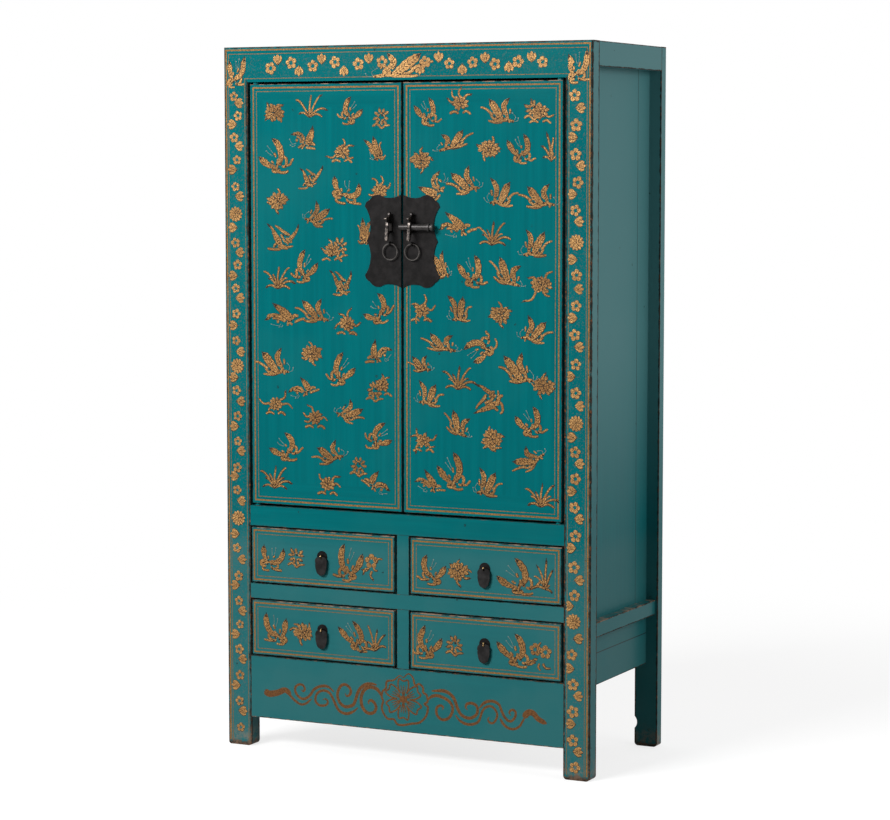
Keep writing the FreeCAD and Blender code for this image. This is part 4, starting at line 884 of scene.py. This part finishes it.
# The painted motifs, in millimetres: each butterfly's drawing, middle and wing tips, and each
# flower's middle, its leaves' tips, and whether a wave-shaped leaf lies under it
DOOR_MOTIFS = {
    "left": {
        "butterfly": (
            ("open", (-151, 1679), (-116, 1684), (-151, 1715)),
            ("arched", (-284, 1612), (-260, 1641), (-321, 1623)),
            ("open", (-370, 1560), (-418, 1562), (-378, 1611)),
            ("perched", (-76, 1585), (-83, 1613), (-108, 1606)),
            ("darting", (-268, 1510), (-294, 1532), (-232, 1538)),
            ("open", (-161, 1475), (-197, 1512), (-125, 1492)),
            ("perched", (-241, 1412), (-213, 1428), (-249, 1447)),
            ("darting", (-351, 1354), (-393, 1388), (-304, 1385)),
            ("perched", (-111, 1372), (-115, 1405), (-92, 1400)),
            ("open", (-286, 1275), (-249, 1288), (-287, 1321)),
            ("darting", (-176, 1238), (-209, 1270), (-149, 1267)),
            ("arched", (-355, 1150), (-378, 1181), (-401, 1140)),
            ("perched", (-264, 1165), (-291, 1190), (-238, 1194)),
            ("open", (-69, 1171), (-110, 1160), (-70, 1212)),
            ("perched", (-384, 1025), (-412, 1052), (-358, 1064)),
            ("arched", (-70, 1063), (-80, 1092), (-34, 1072)),
            ("open", (-180, 1010), (-140, 1020), (-175, 1057)),
            ("arched", (-294, 963), (-297, 989), (-334, 953)),
            ("perched", (-149, 903), (-118, 913), (-152, 935)),
            ("open", (-71, 844), (-34, 837), (-54, 879)),
            ("open", (-343, 803), (-390, 800), (-345, 842)),
            ("perched", (-220, 794), (-247, 807), (-197, 829)),
            ("arched", (-76, 725), (-72, 753), (-41, 708)),
        ),
        "daisy": (
            ((-60, 1666), (), True),
            ((-174, 1579), ((-140, 1592), (-140, 1563), (-220, 1567), (-172, 1612))),
            ((-65, 1479),),
            ((-183, 1333), (), True),
            ((-204, 1325), ((-236, 1330), (-215, 1352))),
            ((-161, 1135), ((-148, 1175), (-122, 1140), (-197, 1122), (-185, 1160), (-140, 1108))),
            ((-80, 965), (), True),
            ((-60, 980), ((-38, 1000), (-60, 1008))),
            ((-374, 919), ((-425, 932), (-345, 955), (-323, 908), (-395, 893))),
            ((-256, 888),),
            ((-128, 769), (), True),
            ((-220, 715), ((-183, 735), (-182, 708), (-245, 742), (-240, 690))),
        ),
        "peony": (
            ((-374, 1679),),
            ((-365, 1450),),
            ((-265, 1054),),
        ),
        "orchid": (
            ((-270, 1668), ((-310, 1711), (-264, 1724), (-233, 1723), (-218, 1684), (-232, 1667),
             (-300, 1675))),
            ((-367, 1223),),
            ((-380, 697),),
        ),
    },
    "right": {
        "butterfly": (
            ("open", (72, 1675), (36, 1691), (77, 1710)),
            ("perched", (268, 1678), (245, 1706), (296, 1708)),
            ("perched", (149, 1606), (170, 1629), (113, 1618)),
            ("open", (332, 1581), (295, 1602), (341, 1617)),
            ("perched", (170, 1500), (141, 1521), (186, 1538)),
            ("arched", (89, 1488), (50, 1487), (103, 1526)),
            ("perched", (282, 1471), (299, 1498), (251, 1509)),
            ("perched", (376, 1465), (351, 1488), (406, 1494)),
            ("arched", (148, 1391), (124, 1423), (108, 1382)),
            ("perched", (376, 1346), (395, 1375), (349, 1379)),
            ("perched", (106, 1288), (88, 1315), (113, 1324)),
            ("open", (198, 1272), (159, 1293), (205, 1315)),
            ("perched", (291, 1275), (275, 1310), (328, 1291)),
            ("perched", (164, 1179), (171, 1208), (132, 1212)),
            ("perched", (376, 1129), (400, 1151), (354, 1165)),
            ("perched", (104, 1094), (81, 1114), (139, 1112)),
            ("open", (220, 1081), (204, 1038), (178, 1081)),
            ("perched", (318, 1031), (288, 1062), (335, 1071)),
            ("perched", (48, 1037), (30, 1053), (66, 1057)),
            ("perched", (79, 959), (93, 983), (49, 993)),
            ("darting", (245, 950), (205, 911), (212, 989)),
            ("perched", (155, 888), (145, 919), (188, 901)),
            ("open", (361, 898), (319, 912), (369, 937)),
            ("perched", (349, 803), (314, 799), (347, 836)),
            ("open", (145, 759), (101, 775), (146, 812)),
            ("arched", (74, 734), (66, 763), (38, 736)),
            ("perched", (245, 738), (262, 766), (221, 777)),
        ),
        "daisy": (
            ((164, 1700),),
            ((366, 1684), (), True),
            ((384, 1676),),
            ((54, 1175), ((62, 1216), (94, 1190), (26, 1190), (40, 1140), (84, 1150))),
            ((60, 841), ((96, 858), (92, 828), (24, 850), (40, 872), (38, 808))),
        ),
        "peony": (
            ((242, 1585),),
            ((54, 1556),),
            ((389, 1246), ((420, 1280), (338, 1205), (352, 1262), (412, 1218))),
            ((276, 1169),),
            ((395, 994),),
            ((255, 854), (), True),
        ),
        "orchid": (
            ((415, 1555), ((388, 1590), (402, 1622), (420, 1612), (392, 1562))),
            ((252, 1345),),
            ((157, 978),),
            ((388, 690),),
        ),
    },
}
DRAWER_MOTIFS = {
    "upper_left_drawer": (
        ("butterfly", "open", (-386, 508), (-411, 541), (-352, 533)),
        ("daisy", (-313, 519), ((-308, 557), (-331, 544), (-271, 531), (-276, 516), (-349, 509)), True),
        ("butterfly", "open", (-158, 505), (-117, 533), (-170, 558)),
        ("blossom", (-90, 520), 19),
        ("leaves", (-88, 508), ((-118, 497), (-58, 528), (-72, 497), (-84, 471), (-114, 484))),
    ),
    "lower_left_drawer": (
        ("butterfly", "open", (-376, 318), (-345, 347), (-405, 360)),
        ("peony", (-295, 318), ((-335, 321), (-275, 345), (-296, 283), (-322, 338))),
        ("butterfly", "open", (-138, 316), (-186, 338), (-143, 357)),
        ("orchid", (-80, 287), ((-102, 352), (-74, 341), (-51, 329), (-48, 297), (-104, 307), (-123, 278))),
    ),
    "upper_right_drawer": (
        ("butterfly", "open", (84, 505), (122, 520), (68, 545)),
        ("peony", (160, 512), ((132, 516), (164, 541), (198, 510), (194, 496), (168, 471))),
        ("butterfly", "open", (328, 501), (271, 504), (321, 552)),
        ("orchid", (404, 482), ((406, 556), (424, 530), (380, 539), (372, 512), (364, 478), (422, 473))),
    ),
    "lower_right_drawer": (
        ("butterfly", "open", (70, 314), (112, 330), (64, 360)),
        ("daisy", (150, 321), ((157, 361), (142, 345), (198, 329), (183, 315), (113, 293)), True),
        ("butterfly", "open", (322, 314), (272, 334), (322, 360)),
        ("blossom", (376, 326), 16),
        ("blossom", (404, 321), 17),
        ("leaves", (388, 300), ((355, 283), (419, 281), (391, 273), (370, 296), (392, 346))),
    ),
}

# The border: open blossoms, fan-shaped leaves (in the top rail with the way their stalks
# point, 1 up and -1 down), and round heads
LEFT_POST_BLOSSOMS = (
    (-495, 1722), (-483, 1672), (-495, 1615), (-487, 1557), (-492, 1487), (-493, 1340), (-487, 1282),
    (-493, 1220), (-492, 1153), (-493, 1082), (-493, 950), (-490, 882), (-490, 815), (-492, 745),
    (-493, 685), (-495, 530), (-490, 455), (-490, 388), (-487, 325), (-490, 258), (-488, 188),
    (-490, 118), (-487, 47),
)
LEFT_POST_LEAF_LEVELS = (
    1705, 1650, 1593, 1532, 1462, 1380, 1315, 1253, 1195, 1122, 1053, 985, 922, 855, 790, 722, 657, 568,
    500, 430, 362, 298, 232, 160, 92,
)
LEFT_POST_HEADS = ((-492, 1415), (-490, 1015), (-490, 610))
RIGHT_POST_BLOSSOMS = (
    (477, 1715), (481, 1642), (480, 1570), (486, 1501), (480, 1432), (484, 1272), (483, 1196),
    (480, 1124), (483, 1050), (483, 979), (482, 831), (483, 764), (481, 692), (484, 620), (480, 541),
    (482, 470), (475, 320), (479, 244), (479, 175), (479, 101), (485, 33),
)
RIGHT_POST_LEAVES = (
    (494, 1684), (471, 1612), (495, 1542), (470, 1472), (491, 1405), (471, 1311), (491, 1238),
    (472, 1166), (493, 1094), (467, 1020), (495, 947), (472, 868), (495, 803), (472, 733), (495, 664),
    (471, 590), (496, 510), (465, 443), (494, 362), (468, 285), (494, 216), (472, 144), (494, 74),
)
RIGHT_POST_HEADS = ((483, 1353), (484, 903), (479, 404))
TOP_BLOSSOMS = (
    (-384, 1794), (-323, 1807), (-259, 1798), (-194, 1807), (-126, 1801), (-58, 1805), (65, 1803),
    (133, 1798), (198, 1800), (260, 1795), (323, 1800), (390, 1798),
)
TOP_LEAVES = (
    (-363, 1817, -1), (-300, 1785, 1), (-233, 1817, -1), (-168, 1783, 1), (-96, 1816, -1), (-44, 1780, 1),
    (50, 1784, 1), (103, 1816, -1), (169, 1782, 1), (232, 1812, -1), (298, 1786, 1), (360, 1812, -1),
)
CORNER_BUTTERFLIES = (
    ("open", (-487, 1782), (-507, 1812), (-462, 1822)),
    ("open", (485, 1782), (458, 1813), (508, 1822)),
    ("perched", (2, 1794), (50, 1822), (-40, 1824)),
)

# The scroll on the apron: each stroke's points and its width
SCROLL_STROKES = (
    (((-412, 153), (-399, 145), (-373, 150), (-350, 159), (-333, 147)), 13),
    (((-347, 157), (-324, 136), (-304, 125), (-287, 129), (-270, 143)), 5),
    (((-204, 167), (-219, 178), (-233, 180), (-250, 176), (-264, 167), (-274, 153), (-286, 143), (-299, 140),
      (-311, 146), (-320, 159), (-318, 171), (-307, 178), (-296, 176), (-291, 167), (-296, 160),
      (-302, 165)), 5.5),
    (((-133, 131), (-144, 121), (-161, 113), (-176, 113), (-190, 120), (-200, 136), (-209, 153), (-219, 164),
      (-233, 168), (-247, 164), (-257, 153), (-259, 139), (-251, 129), (-240, 127), (-227, 130), (-222, 139),
      (-229, 146), (-237, 143)), 5.5),
    (((-77, 196), (-93, 198), (-110, 194), (-124, 184), (-133, 170), (-139, 153), (-145, 139), (-158, 132),
      (-173, 131), (-186, 140), (-193, 156), (-190, 173), (-181, 186), (-170, 189), (-159, 184), (-153, 173),
      (-157, 163), (-166, 159), (-170, 166)), 6.5),
    (((-61, 164), (-70, 179), (-81, 187), (-96, 189), (-110, 183), (-120, 170), (-123, 153), (-120, 136),
      (-110, 123), (-97, 119), (-84, 124), (-79, 136), (-83, 147), (-93, 154), (-101, 150), (-100, 143)), 7),
    (((70, 167), (79, 177), (94, 183), (111, 181), (129, 174), (140, 163), (143, 150), (137, 134),
      (126, 124), (111, 122), (100, 130), (96, 141), (98, 152), (107, 158), (116, 155), (113, 147)), 6),
    (((83, 194), (100, 196), (117, 197), (131, 193), (144, 183), (151, 170), (157, 155), (167, 140),
      (183, 133), (197, 134), (210, 143), (214, 156), (210, 167), (197, 172), (184, 169), (180, 160),
      (186, 153)), 6.5),
    (((151, 137), (163, 124), (180, 117), (197, 117), (214, 124), (221, 136), (226, 151), (234, 163),
      (249, 169), (261, 164), (269, 151), (267, 138), (259, 127), (249, 126), (243, 134), (247, 141)),
      5),
    (((219, 161), (229, 173), (243, 181), (260, 182), (274, 175), (281, 161), (289, 146), (300, 136),
      (311, 137), (320, 149), (320, 161), (311, 165), (303, 158), (307, 150)), 5.5),
    (((277, 140), (286, 127), (300, 117), (317, 116), (331, 124), (339, 136), (347, 149)), 5),
    (((343, 148), (356, 162), (370, 161), (384, 148), (407, 138)), 12),
)
SCROLL_FLOWER = (1, 165)
FLOWER_LINE = 5.6
FLOWER_OUTLINE = (
    (1, 221), (15, 233), (28, 225), (35, 205), (47, 209), (58, 200), (58, 188), (68, 182), (71, 165),
    (62, 158), (72, 150), (68, 130), (60, 118), (45, 107), (25, 103), (0, 97), (-17, 98), (-27, 110),
    (-45, 110), (-58, 125), (-62, 140), (-58, 155), (-62, 165), (-60, 180), (-50, 190), (-47, 208),
    (-27, 213), (-10, 226),
)


def paint_scroll(painting):
    """The brown scroll on the apron, with a flower at its middle."""
    for points, width in SCROLL_STROKES:
        painting.stroke(points, width * 1.45, width * 1.05, "scroll")
    closed = FLOWER_OUTLINE + FLOWER_OUTLINE[:1]
    painting.stroke(closed, FLOWER_LINE, FLOWER_LINE, "scroll")
    petals = 6
    for k in range(petals):
        middle = math.pi / 2 + 2 * math.pi * k / petals
        inner = painting.around(
            SCROLL_FLOWER, (17, middle - 0.45), (34, middle - 0.44), (52, middle - 0.26), (48, middle),
            (54, middle + 0.24), (36, middle + 0.44), (17, middle + 0.45),
        )
        painting.stroke(inner, 4.2, 4.2, "scroll")
        for lean in (-0.20, 0.0, 0.20):
            vein = painting.around(SCROLL_FLOWER, (10, middle + lean), (38, middle + lean))
            painting.stroke(vein, 3.4, 2.0, "scroll")
    painting.dab(SCROLL_FLOWER, 10, "scroll", 1.1, math.pi / 2, sides=14)


def face_of(box):
    """The lower left and the upper right corner of a front, in millimetres."""
    return tuple((corner[0] / MM, corner[2] / MM) for corner in box)


def rectangle(box, inset):
    (x0, _, z0), (x1, _, z1) = box
    x0, x1, z0, z1 = x0 / MM + inset, x1 / MM - inset, z0 / MM + inset, z1 / MM - inset
    return ((x0, z0), (x1, z0), (x1, z1), (x0, z1))


THICK_LINE, THIN_LINE = 4.2, 1.8
DOOR_INSETS = (9.5, 19.0)
DRAWER_INSETS = (7.5, 17.0)


def paint_front(name, box, insets, rows, seed, palette):
    """The lines and the gilding of a door or of a drawer's front, on the body of its name."""
    lines = Painting(f"{name}_lines", name, box[0][1], seed + 20, ("line", "faint"))
    lines.band(rectangle(box, insets[0]), THICK_LINE, True)
    lines.band(rectangle(box, insets[1]), THIN_LINE, True, "faint")
    lines.build(palette)
    painting = Painting(f"{name}_gilding", name, box[0][1], seed)
    painting.limits = face_of(box)
    for kind, *facts in rows:
        getattr(painting, kind)(*facts)
    painting.build(palette)


def paint_doors(palette):
    for seed, (side, motifs) in enumerate(DOOR_MOTIFS.items(), start=11):
        box = clip_box(f"{side}_door_lock_stile", f"{side}_door_rails")
        rows = [(kind, *row) for kind, group in motifs.items() for row in group]
        paint_front(f"{side}_door", box, DOOR_INSETS, rows, seed, palette)


def paint_drawers(palette):
    for seed, (name, rows) in enumerate(DRAWER_MOTIFS.items(), start=41):
        paint_front(name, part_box(f"{name}_front"), DRAWER_INSETS, rows, seed, palette)


POST_WIDTH = 72
LINES_END = 12
LEFT_LEAF_COLUMNS = (-479, -502)
RIGHT_LEAF_MIDDLE = 482
LEFT_POST_FULLNESS = 0.95
FULLNESS = 1.12


def paint_border(palette):
    """The flowered border of the posts and the top rail, and its lines."""
    edge, top = HALF_WIDTH / MM, HEIGHT / MM
    inside = edge - POST_WIDTH
    lines = Painting("border_lines", "cabinet", FRONT, 71, ("line", "faint"))
    rail_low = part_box("front_top_rail")[0][2] / MM
    for side_inset, top_inset, width, tint in (
        (7.5, 8.0, THICK_LINE, "line"), (14.5, 18.0, THIN_LINE, "faint"),
    ):
        x, z = edge - side_inset, top - top_inset
        lines.band(((-x, LINES_END), (-x, z), (x, z), (x, LINES_END)), width, tint=tint)
    x, z = inside + 9, rail_low + 9
    lines.band(((-x, LINES_END), (-x, z), (x, z), (x, LINES_END)), THIN_LINE, tint="faint")
    lines.build(palette)

    border = Painting("border_gilding", "cabinet", FRONT, 73, ("bright", "ink", "pale"))
    rail = ((-edge, rail_low), (edge, top))
    posts = {-1: ((-edge, 0), (-inside, top)), 1: ((inside, 0), (edge, top))}
    for place in LEFT_POST_BLOSSOMS + RIGHT_POST_BLOSSOMS + TOP_BLOSSOMS:
        full = LEFT_POST_FULLNESS if place in LEFT_POST_BLOSSOMS else FULLNESS
        border.blossom(place, border.chance.uniform(12.5, 14.5) * full, border.chance.uniform(-0.4, 0.4))
    for k, level in enumerate(LEFT_POST_LEAF_LEVELS):
        border.limits = posts[-1]
        border.spray((LEFT_LEAF_COLUMNS[k % 2], level), 0.0 if k % 2 else math.pi)
    border.limits = posts[1]
    for x, z in RIGHT_POST_LEAVES:
        border.spray((x, z), math.pi if x > RIGHT_LEAF_MIDDLE else 0.0)
    border.limits = rail
    for x, z, way in TOP_LEAVES:
        border.spray((x, z), way * math.pi / 2)
    for place in LEFT_POST_HEADS + RIGHT_POST_HEADS:
        border.limits = posts[-1 if place[0] < 0 else 1]
        border.medallion(place)
    for row in CORNER_BUTTERFLIES:
        middle = row[1][0]
        border.limits = rail if abs(middle) < inside else posts[-1 if middle < 0 else 1]
        border.butterfly(*row)
    border.build(palette)

    scroll = Painting("apron_scroll", "cabinet", FRONT, 75, ("scroll",))
    paint_scroll(scroll)
    scroll.build(palette)


# Finishes of the carried-over solids

SIDE_SEAM_FROM_FRONT = 0.378
SKIRT_SEAM_LEVEL = 0.306


# The bands that the gilder's ground specked, on the posts and on the top rail
POST_SPECKS = ("x", 0.462, 0.512)
RAIL_SPECKS = ("z", 1.768, 1.830)


def coat(node, grain, wear, **options):
    """Lacquers one solid, which wears by its own edges."""
    assign(lacquer(node + "_lacquer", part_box(node), grain, wear, **options), node)


def dress_carcass():
    # The painted sheen, paler towards the top, is on the rear posts, the front posts' outer faces, the top
    # with its rails, and the side boards
    for node in ("front_left_post", "front_right_post"):
        coat(node, "z", 1.5, speck_band=POST_SPECKS, foot=True, bleached="outside")
    for node in ("rear_left_post", "rear_right_post"):
        coat(node, "z", 1.0, foot=True, bleached=True)
    whole = clip_box("front_left_post", "front_right_post", "front_top_rail")
    assign(lacquer("top_rail_lacquer", whole, "x", 1.0, speck_band=RAIL_SPECKS), "front_top_rail")
    for node, grain in (
        ("rear_top_rail", "x"), ("left_top_rail", "y"), ("right_top_rail", "y"), ("top_boards", "x"),
    ):
        coat(node, grain, 0.8, bleached=True)
    for node in ("door_sill_rail", "drawer_rail", "drawer_dividers"):
        coat(node, "x", 0.3)
    assign(lacquer("apron_lacquer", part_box("front_apron"), "x", 0.6, worn="bottom"), "front_apron")
    for side in ("left", "right"):
        seam = (("y", FRONT + SIDE_SEAM_FROM_FRONT),)
        coat(f"{side}_side_boards", "z", 0.3, gloss=0.36, seams=seam, bleached=True)
        coat(f"{side}_lower_rail", "y", 0.7, worn="top", gloss=0.3)
        coat(f"{side}_skirt", "y", 0.5, gloss=0.3, seams=(("z", SKIRT_SEAM_LEVEL),))


def dress_doors():
    for side in ("left", "right"):
        box = clip_box(f"{side}_door_lock_stile", f"{side}_door_rails")
        box[1][1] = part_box(f"{side}_door_lock_stile")[1][1]
        for part, grain in (("hinge_stile", "z"), ("lock_stile", "z"), ("rails", "x"), ("panel", "z")):
            node = f"{side}_door_{part}"
            assign(lacquer(node + "_lacquer", box, grain, 0.5, worn="top"), node)
        assign(bare_wood(f"{side}_batten_wood", "x"), f"{side}_door_battens")


# The metals; the drawers' brass eyes begin 3.5 mm before the face, the lugs' painted highlight 20 mm
PLATE_IRON = (0.0070, 0.0063, 0.0064)
PULL_PLATE_IRON = (0.006, 0.0055, 0.0055)
DROP_IRON = (0.016, 0.015, 0.015)
RING_IRON = (0.085, 0.078, 0.074)
LUG_IRON = (0.022, 0.019, 0.018)
LUG_PAINTED_HIGHLIGHT = (0.10, 0.085, 0.075)
BOLT_STEEL = (0.045, 0.042, 0.041)
EYE_BRASS = (0.55, 0.36, 0.16)
EYE_STANDS = 0.0035
LUG_STANDS = 0.020


def dress_drawers():
    for row in ("lower", "upper"):
        for side in ("left", "right"):
            name = f"{row}_{side}_drawer"
            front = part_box(f"{name}_front")
            assign(lacquer(f"{name}_lacquer", front, "x", 0.6, worn="top"), f"{name}_front")
            assign(bare_wood(f"{name}_wood", "level"), f"{name}_box")
            eye = (front[0][1] - EYE_STANDS, EYE_BRASS)
            assign(iron(f"{name}_plate_iron", PULL_PLATE_IRON, eye), f"{name}_pull_plate")
            assign(iron(f"{name}_drop_iron", DROP_IRON), f"{name}_pull_drop")


def dress_inside():
    for node, grain in (
        ("rear_bottom_rail", "x"), ("rear_middle_rail", "x"), ("back_boards", "z"), ("cupboard_floor", "x"),
        ("shelf", "x"), ("shelf_and_floor_bearers", "y"), ("bottom_boards", "y"), ("drawer_runners", "y"),
    ):
        assign(bare_wood(node + "_wood", grain), node)


def dress_iron():
    plate = iron("plate_iron", PLATE_IRON)
    ring = iron("ring_iron", RING_IRON, gloss=0.14)
    for side in ("left", "right"):
        assign(plate, f"{side}_lock_plate")
        # The lugs' parts that stand furthest out carry a painted highlight
        worn = (FRONT - LUG_STANDS, LUG_PAINTED_HIGHLIGHT)
        assign(iron(f"{side}_lug_iron", LUG_IRON, worn, gloss=0.24), f"{side}_lock_lug")
        soften(f"{side}_lock_lug", 0.0012)
        assign(ring, f"{side}_pull_ring")
    assign(iron("bolt_metal", BOLT_STEEL, gloss=0.34), "lock_bolt")


# Floor, backdrop and lights

PAPER_TONE = 0.30
FLOOR_GLOW = 0.75
FLOOR_REACH = 34.0
PAPER_EDGE = (1.2, 3.0)
FRONT_ROOM = 0.06
BACK_ROOM = 0.86
ROOM_TURN = (-0.45, 0.35)


def seen_rays(tree):
    """1 for the rays that see a backdrop: from the camera, in gloss and through glass."""
    path = tree.nodes.new("ShaderNodeLightPath")
    found = path.outputs["Is Camera Ray"]
    for kind in ("Is Glossy Ray", "Is Transmission Ray"):
        found = reckoned(tree, "MAXIMUM", found, path.outputs[kind])
    return found


def make_floor():
    """Pale paper that keeps the shadow; seen straight or in gloss it is white further off."""
    mesh = bpy.data.meshes.new("floor")
    corners = [(x * FLOOR_REACH, y * FLOOR_REACH, 0) for x, y in ((-1, -1), (1, -1), (1, 1), (-1, 1))]
    mesh.from_pydata(corners, [], [(0, 1, 2, 3)])
    floor = bpy.data.objects.new("floor", mesh)
    bpy.context.scene.collection.objects.link(floor)
    material = bpy.data.materials.new("floor_white")
    material.use_nodes = True
    tree = material.node_tree
    paper = tree.nodes["Principled BSDF"]
    paper.inputs["Roughness"].default_value = 0.9
    paper.inputs["Specular IOR Level"].default_value = 0.1
    paper.inputs["Base Color"].default_value = (PAPER_TONE, PAPER_TONE, PAPER_TONE, 1)
    seen = seen_rays(tree)

    # Near the cabinet the lit paper glows until it is white, and far off it is plain white
    glow = tree.nodes.new("ShaderNodeEmission")
    tree.links.new(reckoned(tree, "MULTIPLY", seen, FLOOR_GLOW), glow.inputs["Strength"])
    both = tree.nodes.new("ShaderNodeAddShader")
    tree.links.new(paper.outputs[0], both.inputs[0])
    tree.links.new(glow.outputs[0], both.inputs[1])
    white = tree.nodes.new("ShaderNodeEmission")
    where = tree.nodes.new("ShaderNodeTexCoord")
    far = tree.nodes.new("ShaderNodeVectorMath")
    far.operation = "LENGTH"
    tree.links.new(where.outputs["Object"], far.inputs[0])
    share = reckoned(tree, "MULTIPLY", faded(tree, far.outputs["Value"], *PAPER_EDGE), seen)
    mixed = blended(tree, share, both.outputs[0], white.outputs[0])
    tree.links.new(mixed, tree.nodes["Material Output"].inputs["Surface"])
    mesh.materials.append(material)


def make_world():
    """White wherever it is seen; as light, a bright room behind and a dim one before."""
    world = bpy.data.worlds.new("world")
    bpy.context.scene.world = world
    world.use_nodes = True
    tree = world.node_tree
    tree.nodes.clear()
    out = tree.nodes.new("ShaderNodeOutputWorld")
    white = tree.nodes.new("ShaderNodeBackground")
    white.inputs["Color"].default_value = (1, 1, 1, 1)
    room = tree.nodes.new("ShaderNodeBackground")
    where = tree.nodes.new("ShaderNodeTexCoord")
    split = tree.nodes.new("ShaderNodeSeparateXYZ")
    tree.links.new(where.outputs["Generated"], split.inputs[0])
    shade = faded(tree, split.outputs["Y"], *ROOM_TURN, FRONT_ROOM, BACK_ROOM)
    tree.links.new(shade, room.inputs["Strength"])
    tree.links.new(blended(tree, seen_rays(tree), room.outputs[0], white.outputs[0]), out.inputs[0])


def make_light(name, place, size, power):
    """A soft rectangular lamp that faces the middle of the cabinet."""
    data = bpy.data.lights.new(name, "AREA")
    data.shape = "RECTANGLE"
    data.size, data.size_y = size
    data.energy = power
    light = bpy.data.objects.new(name, data)
    light.location = place
    aim = [middle - spot for middle, spot in zip((0.0, 0.0, HEIGHT / 2), place)]
    flat = math.hypot(aim[0], aim[1])
    light.rotation_euler = (math.atan2(flat, -aim[2]), 0.0, math.atan2(-aim[0], aim[1]))
    bpy.context.scene.collection.objects.link(light)


def make_lights():
    make_light("key_light", (-2.2, -5.6, 4.4), (3.2, 2.0), 560)
    make_light("side_light", (5.2, -0.6, 2.8), (2.6, 2.6), 70)


make_camera()
make_world()
make_floor()
make_lights()
palette = {slot: gilt(*row) for slot, row in PAINTS.items()}
dress_carcass()
dress_doors()
dress_drawers()
dress_inside()
dress_iron()
paint_doors(palette)
paint_drawers(palette)
paint_border(palette)

bpy.context.scene.view_settings.view_transform = "Standard"
